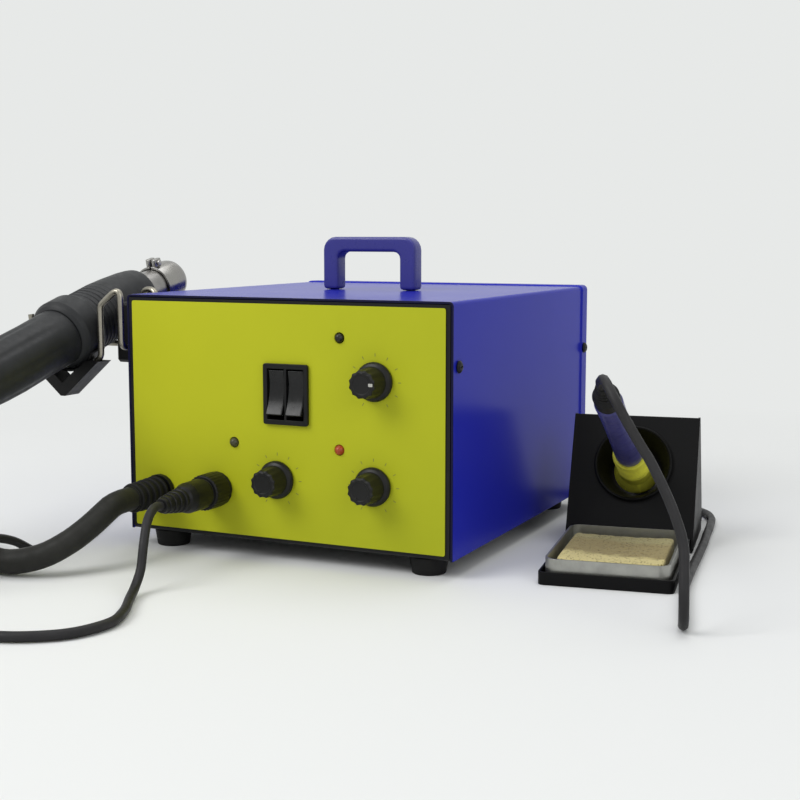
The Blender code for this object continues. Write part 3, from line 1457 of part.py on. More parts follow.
def make_gun(gun_axis, pipe_axis):
    """Handle, housing, heater pipe, nozzle, heater core and hose boot along the gun's two axes."""
    joint, tail = gun_marks()
    recess = GUN_BOOT_NOSE + GAP
    grip = GUN_GRIP_RADIUS
    handle_profile = [
        (0, tail + GUN_TAIL_SLEEVE),
        (recess, tail + GUN_TAIL_SLEEVE),
        (recess, tail),
        (GUN_TAIL_RADIUS - 0.001, tail),
        (GUN_TAIL_RADIUS, tail + 0.001),
        (GUN_TAIL_RADIUS + 0.0022, tail + GUN_GRIP_LENGTH * 0.09),
        (grip - 0.0006, tail + GUN_GRIP_LENGTH * 0.28),
        (grip, tail + GUN_GRIP_LENGTH * 0.49),
        (grip - 0.0006, tail + GUN_GRIP_LENGTH * 0.74),
        (grip, joint - 0.005),
        (grip, joint),
        (0, joint),
    ]
    solid("gun_handle", turned(handle_profile, steps=24), "gun_grey", turn=ALONG_Y, parent=gun_axis)
    ring, body = GUN_RING_RADIUS, GUN_BODY_RADIUS
    housing_profile = [
        (0, joint + GAP),
        (grip + 0.0006, joint + GAP),
        (ring, joint + 0.0030),
        (ring, GUN_RING_HALF),
        (body, GUN_RING_HALF + 0.0035),
        (body - 0.0002, GUN_FRONT * 0.30),
        (body + 0.0002, GUN_FRONT * 0.48),
        (body - 0.0004, GUN_FRONT * 0.64),
        (body - 0.0016, GUN_FRONT * 0.84),
        (GUN_FRONT_RADIUS + 0.0008, GUN_FRONT * 0.94),
        (GUN_FRONT_RADIUS, GUN_FRONT),
        (0, GUN_FRONT),
    ]
    housing = solid(
        "gun_housing", turned(housing_profile, steps=24), "gun_grey", turn=ALONG_Y, parent=gun_axis
    )
    bore = bmesh.new()
    add_cylinder(bore, PIPE_RADIUS + GAP, 0, PIPE_LENGTH, steps=24)
    cut(housing, helper("pipe bore", bore, turn=ALONG_Y, parent=pipe_axis))
    pipe_inner = PIPE_RADIUS - PIPE_WALL
    pipe_profile = [
        (PIPE_RADIUS, GAP),
        (PIPE_RADIUS, PIPE_LENGTH),
        (pipe_inner, PIPE_LENGTH),
        (pipe_inner, GAP),
    ]
    solid(
        "gun_pipe", turned(pipe_profile, steps=24, closed=True), "steel", turn=ALONG_Y, parent=pipe_axis
    )
    make_nozzle(pipe_axis)
    make_heater(pipe_axis, pipe_inner)
    boot_start = tail + GUN_TAIL_SLEEVE - GAP
    collar = tail - GAP
    boot_profile = [(0, boot_start), (GUN_BOOT_NOSE, boot_start), (GUN_BOOT_NOSE, collar)]
    boot_profile += ribbed_taper(
        collar, gun_boot_end(), GUN_TAIL_RADIUS - 0.0022, HOSE_RADIUS + 0.0006, 5, 0.0006
    )
    boot_profile += [(0, gun_boot_end())]
    solid("gun_boot", turned(boot_profile, steps=14), "rubber_black", turn=ALONG_Y, parent=gun_axis)


def make_nozzle(pipe_axis):
    """Sleeve over the pipe's end, with a rounded shoulder, an outlet and a clamp lug."""
    inner = PIPE_RADIUS + GAP
    outer = inner + NOZZLE_WALL
    start = PIPE_LENGTH - NOZZLE_SLEEVE
    shoulder = PIPE_LENGTH + NOZZLE_OVERHANG
    outlet, wall = NOZZLE_OUTLET_RADIUS, NOZZLE_WALL * 0.7
    tip = shoulder + NOZZLE_OUTLET_LENGTH
    profile = [
        (inner, start),
        (outer, start),
        (outer, shoulder - 0.0050),
        (outer - 0.0012, shoulder - 0.0015),
        (outer - 0.0042, shoulder),
        (outlet, shoulder + 0.0006),
        (outlet, tip),
        (outlet - wall, tip),
        (outlet - wall, shoulder - 0.0006),
        (inner - 0.0026, shoulder - 0.0010),
        (inner, shoulder - NOZZLE_OVERHANG + GAP),
    ]
    nozzle = solid(
        "gun_nozzle", turned(profile, steps=24, closed=True), "steel", turn=ALONG_Y, parent=pipe_axis
    )
    lug = box((-0.0035, start + 0.0010, outer - 0.0006), (0.0035, start + 0.0070, outer + 0.0042))
    fuse(nozzle, helper("clamp lug", lug, parent=pipe_axis))
    slit = box(
        (-0.0006, start - 0.002, inner - 0.0010), (0.0006, start + 0.0110, outer + 0.0060)
    )
    return cut(nozzle, helper("clamp slit", slit, parent=pipe_axis))


def make_heater(pipe_axis, pipe_inner):
    """Lobed ceramic core that fills the pipe behind the nozzle."""
    high, low = pipe_inner - GAP, pipe_inner * 0.62
    outline = []
    for step in range(HEATER_LOBES * 4):
        angle = 2 * math.pi * step / (HEATER_LOBES * 4)
        reach = high if step % 4 in (0, 1) else low
        outline.append((reach * math.cos(angle), reach * math.sin(angle)))
    start = 0.004
    core = prism(outline, start, start + HEATER_LENGTH, "XZ")
    return solid("gun_heater", core, "ceramic", parent=pipe_axis, smooth=20)


def make_stand_base(stand):
    """Folded tray of sheet steel with low lips all round."""
    outer = rounded_rectangle(BASE_WIDTH, BASE_LENGTH, BASE_CORNER, (0, BASE_LENGTH / 2))
    inner = rounded_rectangle(
        BASE_WIDTH - 2 * STAND_SHEET,
        BASE_LENGTH - 2 * STAND_SHEET,
        BASE_CORNER - STAND_SHEET,
        (0, BASE_LENGTH / 2),
    )
    base = solid("stand_base", prism(outer, 0, BASE_LIP), "chassis_black", parent=stand)
    hollow = helper("base hollow", prism(inner, STAND_SHEET, BASE_LIP + THROUGH), parent=stand)
    return cut(base, hollow)


def make_stand_plate(stand, iron_axis):
    """Upright plate that leans back, with side flanges outside the base's lips and a hole for the funnel."""
    sheet = STAND_SHEET
    half = BASE_WIDTH / 2 + GAP + sheet
    low = 2 * GAP
    lean = PLATE_HEIGHT * math.tan(PLATE_LEAN)
    top_y = PLATE_AT + lean
    web_low = BASE_LIP + GAP
    web_low_y = PLATE_AT + web_low * math.tan(PLATE_LEAN)
    web = [
        (web_low_y, web_low),
        (web_low_y + sheet, web_low),
        (top_y + sheet, PLATE_HEIGHT),
        (top_y, PLATE_HEIGHT),
    ]
    plate = solid("stand_plate", prism(web, -half, half, "YZ"), "chassis_black", parent=stand)
    rear = PLATE_AT + PLATE_FLANGE
    flange = [
        (PLATE_AT, low),
        (rear, low),
        (rear, PLATE_FLANGE_REAR),
        (top_y + 3 * sheet, PLATE_HEIGHT),
        (top_y, PLATE_HEIGHT),
    ]
    for side in (-1, 1):
        low_x, high_x = sorted((side * half, side * (half - sheet)))
        fuse(plate, helper(f"plate flange {side}", prism(flange, low_x, high_x, "YZ"), parent=stand))
    skin = FUNNEL_SHEET + GAP
    start, end = FUNNEL_FRONT - 0.012, FUNNEL_FRONT + FUNNEL_LENGTH
    slope = (FUNNEL_MOUTH_RADIUS - FUNNEL_THROAT_RADIUS) / FUNNEL_LENGTH
    near = FUNNEL_MOUTH_RADIUS + 0.012 * slope + skin
    cone = turned([(0, start), (near, start), (FUNNEL_THROAT_RADIUS + skin, end), (0, end)], steps=24)
    return cut(plate, helper("funnel hole", cone, turn=ALONG_Y, parent=iron_axis))


def make_funnel(iron_axis):
    """Conical shell that holds the iron, with a rolled rim at its mouth."""
    front, back = FUNNEL_FRONT, FUNNEL_FRONT + FUNNEL_LENGTH
    mouth, throat, sheet = FUNNEL_MOUTH_RADIUS, FUNNEL_THROAT_RADIUS, FUNNEL_SHEET
    profile = [
        (mouth, front),
        (mouth + sheet + 0.0006, front - 0.0006),
        (mouth + sheet + 0.0008, front + 0.0010),
        (mouth + sheet - 0.0006, front + 0.0016),
        (throat + sheet, back),
        (throat, back),
    ]
    return solid(
        "stand_funnel", turned(profile, steps=24, closed=True), "chassis_black", turn=ALONG_Y, parent=iron_axis
    )


def make_spring(iron_axis):
    """Open coil behind the funnel, round the iron's barrel."""
    start = FUNNEL_FRONT + FUNNEL_LENGTH + SPRING_WIRE + GAP
    steps = SPRING_TURNS * 10
    points = []
    for step in range(steps + 1):
        angle = 2 * math.pi * step * SPRING_TURNS / steps
        reach = SPRING_RADIUS
        along = start + SPRING_LENGTH * step / steps
        points.append((reach * math.cos(angle), along, reach * math.sin(angle)))
    return rod("stand_spring", points, SPRING_WIRE, "wire_steel", parent=iron_axis, sides=1)


def make_tray_and_sponge(stand):
    """Pressed metal tray in the base, with the sponge in it."""
    middle = STAND_SHEET + TRAY_FRONT_GAP + TRAY_LENGTH / 2
    low = STAND_SHEET + GAP
    outer = rounded_rectangle(TRAY_WIDTH, TRAY_LENGTH, TRAY_CORNER, (0, middle), steps=4)
    inner = rounded_rectangle(
        TRAY_WIDTH - 2 * TRAY_SHEET, TRAY_LENGTH - 2 * TRAY_SHEET, TRAY_CORNER - TRAY_SHEET, (0, middle), steps=4
    )
    tray = solid("sponge_tray", prism(outer, low, TRAY_RIM), "tray_grey", parent=stand)
    cut(tray, helper("tray hollow", prism(inner, low + TRAY_SHEET, TRAY_RIM + THROUGH), parent=stand))
    floor = low + TRAY_SHEET + GAP
    outline = rounded_rectangle(
        SPONGE_WIDTH, SPONGE_LENGTH, 0.004, (0, SPONGE_AT + SPONGE_LENGTH / 2), steps=3
    )
    sponge = solid("sponge", prism(outline, floor, floor + SPONGE_HEIGHT), "sponge_yellow", parent=stand)
    return bevel(sponge, 0.0012, 2)


def iron_marks():
    """Places along the iron's axis where its pieces meet."""
    grip_back = IRON_GRIP_FRONT - IRON_GRIP_LENGTH
    handle_back = grip_back - IRON_HANDLE_LENGTH
    cap_back = handle_back - IRON_CAP_LENGTH
    return grip_back, handle_back, cap_back, cap_back - IRON_BOOT_LENGTH


def make_iron(iron_axis):
    """Boot, handle, grip, nut with barrel, and tip."""
    grip_back, handle_back, cap_back, boot_back = iron_marks()
    front = IRON_GRIP_FRONT
    cap = IRON_CAP_RADIUS
    boot_profile = [(0, handle_back - GAP), (cap, handle_back - GAP), (cap, cap_back + 0.003)]
    boot_profile += [(cap - 0.0014, cap_back)]
    boot_profile += ribbed_taper(cap_back, boot_back, cap - 0.0022, IRON_CORD_RADIUS + 0.0010, 3, 0.0005)
    boot_profile += [(0, boot_back)]
    solid("iron_boot", turned(boot_profile, steps=12), "rubber_black", turn=ALONG_Y, parent=iron_axis)
    radius = IRON_HANDLE_RADIUS
    handle_profile = [
        (0, handle_back),
        (cap + 0.0001, handle_back),
        (cap + 0.0004, handle_back + 0.002),
        (radius - 0.0006, handle_back + IRON_HANDLE_LENGTH * 0.5),
        (radius, grip_back - 0.004),
        (radius, grip_back - GAP),
        (IRON_CORE_RADIUS, grip_back - GAP),
        (IRON_CORE_RADIUS, front - GAP),
        (0, front - GAP),
    ]
    solid("iron_handle", turned(handle_profile, steps=18), "iron_blue", turn=ALONG_Y, parent=iron_axis)
    bore = IRON_CORE_RADIUS + GAP
    grip, flange = IRON_GRIP_RADIUS, IRON_FLANGE_RADIUS
    flange_back = front - IRON_FLANGE_LENGTH
    grip_profile = [
        (bore, grip_back),
        (grip - 0.0006, grip_back),
        (grip, grip_back + 0.0012),
        (grip - 0.0004, grip_back + IRON_GRIP_LENGTH * 0.45),
        (grip + 0.0004, flange_back - 0.006),
        (flange, flange_back),
        (flange, front - 0.0010),
        (flange - 0.0010, front),
        (bore, front),
    ]
    solid(
        "iron_grip", turned(grip_profile, steps=20, closed=True), "iron_lime", turn=ALONG_Y, parent=iron_axis
    )
    nut, barrel = IRON_NUT_RADIUS, IRON_BARREL_RADIUS
    nut_end = front + GAP + IRON_NUT_LENGTH
    barrel_end = nut_end + IRON_BARREL_LENGTH
    barrel_profile = [
        (0, front + GAP),
        (nut, front + GAP),
        (nut, nut_end - 0.001),
        (nut - 0.001, nut_end),
        (barrel, nut_end),
        (barrel, barrel_end - 0.0006),
        (barrel - 0.0006, barrel_end),
        (0, barrel_end),
    ]
    solid(
        "iron_barrel",
        turned(barrel_profile, steps=24, flutes=12, depth=0.0003, fluted=(1, 2)),
        "steel",
        turn=ALONG_Y,
        parent=iron_axis,
    )
    tip_start, tip_end = barrel_end + GAP, barrel_end + GAP + IRON_TIP_LENGTH
    tip_profile = [
        (0, tip_start),
        (IRON_TIP_RADIUS, tip_start),
        (IRON_TIP_RADIUS, tip_start + IRON_TIP_LENGTH * 0.42),
        (IRON_TIP_POINT, tip_end),
        (0, tip_end),
    ]
    solid("iron_tip", turned(tip_profile, steps=16), "tip_iron", turn=ALONG_Y, parent=iron_axis)


def axis_point(axis, along):
    """A point on the axis that an empty stands for, and the axis' direction."""
    bpy.context.view_layer.update()
    return axis.matrix_world @ Vector((0, along, 0)), axis.matrix_world.to_3x3() @ Y_AXIS


def coil_ends():
    """Where a straight run along X clears the coil, at its back and at its front."""
    reach = HOSE_RADIUS + GAP
    along = math.sqrt((COIL_RADIUS + reach) ** 2 - (COIL_RADIUS - reach) ** 2) + GAP
    x = COIL_CENTRE[0] + along
    back = Vector((x, COIL_CENTRE[1] + COIL_RADIUS, HOSE_RADIUS + 2 * GAP))
    front = Vector((x, COIL_CENTRE[1] - COIL_RADIUS, 3 * HOSE_RADIUS + 2 * GAP))
    return back, front


def make_cords(gun_axis, iron_axis):
    """The hose in three solids and the iron's cord in two."""
    spacing = 4 * HOSE_RADIUS
    back, front = coil_ends()
    out_start = Vector((OUTLET_X, -hose_start() - 2 * GAP, CASE_BOTTOM + OUTLET_Z))
    out_next = out_start - Y_AXIS * HOSE_STRAIGHT
    route = [out_start, out_next, *HOSE_OUT_ROUTE, back + X_AXIS * HOSE_STRAIGHT, back]
    rod("hose_from_outlet", smooth_route(route, spacing), HOSE_RADIUS, "hose_rubber")
    gun_end, gun_direction = axis_point(gun_axis, gun_boot_end() - 2 * GAP)
    route = [front, front + X_AXIS * HOSE_STRAIGHT * 0.5, *HOSE_IN_ROUTE]
    route += [gun_end - gun_direction * HOSE_STRAIGHT, gun_end]
    rod("hose_to_gun", smooth_route(route, spacing), HOSE_RADIUS, "hose_rubber")
    half = HOSE_RADIUS + GAP / 2
    low = GAP
    high = low + COIL_LAYERS * 2 * HOSE_RADIUS
    edge = HOSE_RADIUS * 0.5
    profile = [
        (COIL_RADIUS - half, low + edge),
        (COIL_RADIUS - half + edge, low),
        (COIL_RADIUS + half - edge, low),
        (COIL_RADIUS + half, low + edge),
        (COIL_RADIUS + half, high - edge),
        (COIL_RADIUS + half - edge, high),
        (COIL_RADIUS - half + edge, high),
        (COIL_RADIUS - half, high - edge),
    ]
    coil = turned(profile, steps=32, closed=True)
    solid("hose_coil", coil, "hose_rubber", at=(*COIL_CENTRE, 0))
    fine = 7.5 * IRON_CORD_RADIUS
    plug_at = Vector((SOCKET_X, -plug_end() - 2 * GAP, CASE_BOTTOM + SOCKET_Z))
    meeting, ahead = Vector(IRON_CORD_MEETING), Vector(IRON_CORD_HEADING) * IRON_CORD_STRAIGHT
    route = [plug_at, plug_at - Y_AXIS * IRON_CORD_STRAIGHT, *IRON_CORD_ROUTE, meeting - ahead, meeting]
    rod("iron_cord", smooth_route(route, fine), IRON_CORD_RADIUS, "cord_rubber")
    iron_end, iron_direction = axis_point(iron_axis, iron_marks()[3] - 2 * GAP)
    meeting += Vector(IRON_CORD_HEADING) * 2 * GAP
    route = [meeting, meeting + ahead, *IRON_CORD_RISE, iron_end - iron_direction * IRON_CORD_STRAIGHT, iron_end]
    rod("iron_cord_rise", smooth_route(route, fine), IRON_CORD_RADIUS, "cord_rubber")


CORD_PIECES = (
    "hose_boot",
    "hose_from_outlet",
    "hose_coil",
    "hose_to_gun",
    "iron_plug",
    "iron_cord",
    "iron_cord_rise",
)


def move_to_origin():
    """Moves everything sideways, so that the origin is under the middle of the pieces that aren't cords."""
    bpy.context.view_layer.update()
    graph = bpy.context.evaluated_depsgraph_get()
    corners = []
    for obj in bpy.context.scene.objects:
        if obj.type not in ("MESH", "CURVE") or obj.hide_render or obj.name in CORD_PIECES:
            continue
        found = obj.evaluated_get(graph)
        mesh = found.to_mesh()
        corners += [found.matrix_world @ vert.co for vert in mesh.vertices]
        found.to_mesh_clear()
    low = [min(corner[k] for corner in corners) for k in range(2)]
    high = [max(corner[k] for corner in corners) for k in range(2)]
    shift = Vector((-(low[0] + high[0]) / 2, -(low[1] + high[1]) / 2, 0))
    for obj in bpy.context.scene.objects:
        if obj.parent is None:
            obj.location += shift
    bpy.context.view_layer.update()


def build():
    clear_scene()
    make_chassis()
    make_overlay()
    make_cover()
    make_rear_panel()
    make_inlet()
    make_handle()
    make_feet()
    make_cover_screws()
    make_switch()
    make_rockers()
    make_knobs()
    make_potentiometers()
    make_lamps()
    make_air_outlet()
    make_hose_boot()
    make_iron_socket()
    make_iron_plug()
    make_transformer()
    make_pump()
    make_air_tube()
    make_board()
    gun_at = (GUN_CENTRE[0], GUN_CENTRE[1], CASE_BOTTOM + GUN_CENTRE[2])
    gun_axis = empty("gun_axis", gun_at, (GUN_SLOPE, 0, 0))
    pipe_axis = empty("pipe_axis", (0, GUN_BEND_AT, 0), (GUN_BEND, 0, 0), gun_axis)
    make_holder_block()
    make_front_wire()
    make_rear_wire()
    make_saddle(gun_axis)
    make_gun(gun_axis, pipe_axis)
    stand = empty("stand", (*STAND_AT, 0), (0, 0, STAND_TURN))
    iron_axis = empty("iron_axis", (0, *FUNNEL_AT), (-IRON_SLOPE, 0, 0), stand)
    make_stand_base(stand)
    make_stand_plate(stand, iron_axis)
    make_funnel(iron_axis)
    make_spring(iron_axis)
    make_tray_and_sponge(stand)
    make_iron(iron_axis)
    make_cords(gun_axis, iron_axis)
    move_to_origin()


build()
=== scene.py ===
"""Hot air rework station: the finished look of its casing, gun, iron, stand, hose and cord."""

import math

import bmesh
import bpy
from mathutils import Euler, Matrix, Vector, noise


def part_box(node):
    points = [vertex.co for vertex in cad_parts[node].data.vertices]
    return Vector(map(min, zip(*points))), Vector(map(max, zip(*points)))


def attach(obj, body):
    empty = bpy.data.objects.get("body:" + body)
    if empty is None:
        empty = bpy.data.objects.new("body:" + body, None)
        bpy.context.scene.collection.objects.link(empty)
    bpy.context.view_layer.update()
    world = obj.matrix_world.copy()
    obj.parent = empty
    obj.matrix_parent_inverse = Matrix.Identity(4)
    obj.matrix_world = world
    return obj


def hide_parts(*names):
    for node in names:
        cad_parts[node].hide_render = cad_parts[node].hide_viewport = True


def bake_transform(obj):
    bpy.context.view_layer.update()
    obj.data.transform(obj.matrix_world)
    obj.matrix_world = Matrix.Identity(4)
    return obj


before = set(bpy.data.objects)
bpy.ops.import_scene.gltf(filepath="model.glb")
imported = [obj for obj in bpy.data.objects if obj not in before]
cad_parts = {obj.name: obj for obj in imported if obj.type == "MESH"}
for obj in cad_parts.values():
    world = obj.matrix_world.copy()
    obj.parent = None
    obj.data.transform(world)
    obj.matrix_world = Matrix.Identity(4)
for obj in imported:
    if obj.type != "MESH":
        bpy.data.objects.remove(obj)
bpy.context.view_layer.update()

# ---- Places and sizes shared with the solids, from the middle of the casing's front edge ----

CHASSIS_LOW, CHASSIS_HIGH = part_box("chassis")
FRONT_MIDDLE = Vector(((CHASSIS_LOW[0] + CHASSIS_HIGH[0]) / 2, CHASSIS_LOW[1], 0))
CASE_BOTTOM = 0.0095
CASE_WIDTH = 0.188
CASE_DEPTH = 0.208
GAP = 0.0003
PANEL_FACE = 0.0007

KNOBS = {
    "hot_air": (0.053, 0.0862, 90),
    "airflow": (-0.0025, 0.0335, -150),
    "iron": (0.052, 0.0342, -150),
}
LAMPS = {
    "hot_air": (0.0334, 0.107, "lamp_dark"),
    "iron": (0.0331, 0.0511, "lamp_red"),
    "power": (-0.028, 0.0511, "lamp_smoke"),
}
OUTLET = (-0.074, 0.0224)
SOCKET = (-0.0385, 0.026)

GUN_CENTRE = (-0.135, 0.002, 0.1141)
GUN_SLOPE = math.radians(16.5)
GUN_BEND_AT = 0.0525
GUN_BEND = math.radians(-4.0)
GUN_RING = 0.0193
GUN_BODY = 0.0172
STAND_AT = (0.165, 0.0172, 0)
STAND_TURN = math.radians(8.5)
FUNNEL_AT = (0, 0.112, 0.04)
IRON_SLOPE = math.radians(24.1)

HOSE_RADIUS = 0.0062
CORD_RADIUS = 0.0023
COIL_CENTRE = (-0.222, -0.112)
COIL_RADIUS = 0.066
COIL_TAIL = 0.0417
COIL_TURNS = 1.5
COIL_STEPS = 24
COIL_LOW = 0.0064
COIL_RISE = 0.0127
COIL_RISES_FROM, COIL_RISES_OVER = 185, 145

OUT_OF_PANEL = (math.pi / 2, 0, 0)
ALONG_Y = (-math.pi / 2, 0, 0)


def spot(at=(0, 0, 0), turn=(0, 0, 0), within=None):
    """The matrix of a place and a turn inside another one."""
    base = Matrix.Translation(FRONT_MIDDLE) if within is None else within
    return base @ Matrix.Translation(at) @ Euler(turn).to_matrix().to_4x4()


CASING = spot()
GUN = spot(GUN_CENTRE, (GUN_SLOPE, 0, 0))
PIPE = spot((0, GUN_BEND_AT, 0), (GUN_BEND, 0, 0), GUN)
STAND = spot(STAND_AT, (0, 0, STAND_TURN))
IRON = spot(FUNNEL_AT, (-IRON_SLOPE, 0, 0), STAND)
GUN_AXIS, PIPE_AXIS, IRON_AXIS = (spot(turn=ALONG_Y, within=tool) for tool in (GUN, PIPE, IRON))


def on_panel(x, z):
    """The place of a panel fitting, with its own +Z pointing out of the panel."""
    return spot((x, 0, CASE_BOTTOM + z), OUT_OF_PANEL)


# ---- Node trees ----


class Tree:
    """A node tree that is built step by step."""

    def __init__(self, tree):
        self.tree = tree

    def node(self, kind, links=(), **settings):
        """The outputs of a new node. A string as a socket's value names one of a grower's inputs."""
        node = self.tree.nodes.new(kind)
        for key, value in settings.items():
            setattr(node, key, value)
        for key, value in dict(links).items():
            for source in value if isinstance(value, list) else [value]:
                source = self.inputs[source] if isinstance(source, str) else source
                if isinstance(source, bpy.types.NodeSocket):
                    self.tree.links.new(source, node.inputs[key])
                else:
                    node.inputs[key].default_value = source
        return node.outputs

    def math(self, operation, first, second):
        return self.node("ShaderNodeMath", {0: first, 1: second}, operation=operation)[0]

    def vector(self, **parts):
        return self.node("ShaderNodeCombineXYZ", parts)[0]

    def spread(self, value, low, high, to_low, to_high):
        """The value, with low to high laid over to_low to to_high."""
        sockets = {"Value": value, "From Min": low, "From Max": high, "To Min": to_low, "To Max": to_high}
        return self.node("ShaderNodeMapRange", sockets)[0]


# ---- Finishes ----

FINISH = {}


class Surface(Tree):
    """A material on Object coordinates, kept in FINISH under its name."""

    def __init__(self, name, colour, roughness, metallic=0.0, coat=0.0, sheen=0.0, specular=0.5):
        material = FINISH[name] = bpy.data.materials.new(name)
        material.use_nodes = True
        material.diffuse_color = (*colour, 1)
        super().__init__(material.node_tree)
        self.colour = colour
        self.shader = self.tree.nodes["Principled BSDF"]
        values = {
            "Base Color": (*colour, 1), "Roughness": roughness, "Metallic": metallic, "Coat Weight": coat,
            "Specular IOR Level": specular, "Coat Roughness": 0.08, "Sheen Weight": sheen,
        }
        self.fill(values)
        self.place = self.object_space()

    def fill(self, values):
        for label, value in values.items():
            self.shader.inputs[label].default_value = value

    def object_space(self, stretch=(1, 1, 1)):
        coordinates = self.node("ShaderNodeTexCoord")["Object"]
        return self.node("ShaderNodeMapping", {"Vector": coordinates, "Scale": stretch})[0]

    def along(self, axis):
        return self.node("ShaderNodeSeparateXYZ", {0: self.place})[axis]

    def cloud(self, scale, detail=3.0, roughness=0.55, place=None):
        place = self.place if place is None else place
        sockets = {"Vector": place, "Scale": scale, "Detail": detail, "Roughness": roughness}
        return self.node("ShaderNodeTexNoise", sockets)["Fac"]

    def cells(self, scale, feature="F1"):
        sockets = {"Vector": self.place, "Scale": scale}
        return self.node("ShaderNodeTexVoronoi", sockets, feature=feature)["Distance"]

    def edge_wear(self):
        """1 on convex edges and 0 on flat faces."""
        return self.spread(self.node("ShaderNodeNewGeometry")["Pointiness"], 0.52, 0.6, 0, 1)

    def shade(self, factor):
        return tuple(min(1.0, channel * factor) for channel in self.colour)

    def mix(self, share, first, second):
        """A colour from the first to the second, by the share."""
        first, second = [(*side, 1) if isinstance(side, tuple) else side for side in (first, second)]
        return self.node("ShaderNodeMix", {0: share, 6: first, 7: second}, data_type="RGBA")[2]

    def patches(self, value, low, high, first, second):
        """Two shades of the surface's own colour, by the value."""
        return self.mix(self.spread(value, low, high, 0, 1), self.shade(first), self.shade(second))

    def paint(self, colour):
        self.tree.links.new(colour, self.shader.inputs["Base Color"])

    def roughen(self, value, least, most, low=0.3, high=0.7):
        self.tree.links.new(self.spread(value, low, high, least, most), self.shader.inputs["Roughness"])

    def relief(self, height, distance):
        bump = self.node("ShaderNodeBump", {"Height": height, "Distance": distance, "Strength": 1.0})
        self.tree.links.new(bump["Normal"], self.shader.inputs["Normal"])


def make_moulded(name, colour, roughness, grain, depth, coat=0.0, variation=0.16, specular=0.25):
    """Moulded plastic or rubber: a fine even grain, slight patches and lighter worn edges."""
    look = Surface(name, colour, roughness, coat=coat, specular=specular)
    base = look.patches(look.cloud(90, 4), 0.35, 0.65, 1 - variation, 1 + variation)
    look.paint(look.mix(look.math("MULTIPLY", look.edge_wear(), 0.35), base, look.shade(1.8)))
    look.roughen(look.cloud(260), roughness - 0.06, roughness + 0.08)
    look.relief(look.cloud(grain, 2), depth)


def make_powder_coat(name, colour, roughness, specular):
    """Baked paint: fine orange peel, faint patches, and edges rubbed a little lighter."""
    look = Surface(name, colour, roughness, specular=specular)
    base = look.patches(look.cloud(9, 2), 0.3, 0.7, 0.96, 1.04)
    scuffs = look.spread(look.cloud(140, 6, 0.7), 0.6, 0.72, 0, 0.35)
    look.paint(look.mix(look.math("MULTIPLY", scuffs, look.edge_wear()), base, look.shade(3.0)))
    look.roughen(look.cloud(60, 4), roughness - 0.02, roughness + 0.03)
    look.relief(look.cloud(1900, 2), 0.00004)


def make_cover_paint():
    """Smooth blue baked paint, dark blue on the sheet's front edge faces."""
    look = Surface("cover_blue", (0.016, 0.022, 0.37), 0.27, specular=0.06)
    base = look.patches(look.cloud(9, 2), 0.3, 0.7, 0.96, 1.04)
    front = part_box("cover")[0][1]
    cut = look.spread(look.along("Y"), front + 0.0002, front + 0.0005, 1, 0)
    look.paint(look.mix(cut, base, (0.01, 0.01, 0.034)))
    look.roughen(look.cloud(40, 2), 0.235, 0.255)
    look.relief(look.cloud(1500, 2), 0.000006)


def make_metal(name, colour, roughness, stretch=(1, 1, 1)):
    """Bare metal with fine draw lines along one direction and cloudy handling marks."""
    look = Surface(name, colour, roughness, metallic=1.0)
    lines = look.cloud(900, place=look.object_space(stretch))
    marks = look.cloud(120, 5)
    look.paint(look.patches(marks, 0.35, 0.7, 1.05, 0.82))
    both = look.math("ADD", look.math("MULTIPLY", lines, 0.6), look.math("MULTIPLY", marks, 0.4))
    look.roughen(both, roughness - 0.08, roughness + 0.12)
    look.relief(lines, 0.00002)


def make_heated_steel():
    """Polished steel of the nozzle, with straw and blue bands where it gets hottest."""
    look = Surface("heated_steel", (0.33, 0.33, 0.32), 0.26, metallic=1.0)
    along = look.math("ADD", look.along("Y"), look.math("MULTIPLY", look.cloud(70), 0.012))
    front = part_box("gun_nozzle")[1][1]
    straw = look.spread(along, front - 0.04, front - 0.012, 0, 0.35)
    blue = look.spread(along, front - 0.016, front + 0.006, 0, 0.3)
    base = look.mix(straw, (0.33, 0.33, 0.33), (0.31, 0.28, 0.22))
    look.paint(look.mix(blue, base, (0.19, 0.19, 0.26)))
    look.roughen(look.cloud(160, 5), 0.16, 0.36)
    look.relief(look.cloud(260, 2, place=look.object_space((1, 8, 8))), 0.00002)


def make_overlay_film():
    """Printed satin film: lime ink, finely embossed, with painted shade that darkens it a little to the right
    and below.
    """
    look = Surface("overlay_lime", (0.46, 0.48, 0.014), 0.45, specular=0.15)
    low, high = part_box("panel_overlay")
    # Darker to the right and below: painted shade, as if lit from the left. The random tone added on top is
    # the ink's own.
    right = look.spread(look.along("X"), low[0] + 0.03, high[0], 0, 0.7)
    below = look.spread(look.along("Z"), low[2], low[2] + 0.06, 0.4, 0)
    uneven = look.spread(look.cloud(26, 4), 0.3, 0.7, -0.05, 0.05)
    painted_shade = look.math("ADD", look.math("ADD", right, below), uneven)
    look.paint(look.mix(painted_shade, (0.49, 0.508, 0.017), (0.375, 0.405, 0.014)))
    look.roughen(look.cloud(320), 0.42, 0.52)
    look.relief(look.cells(2600), 0.00002)


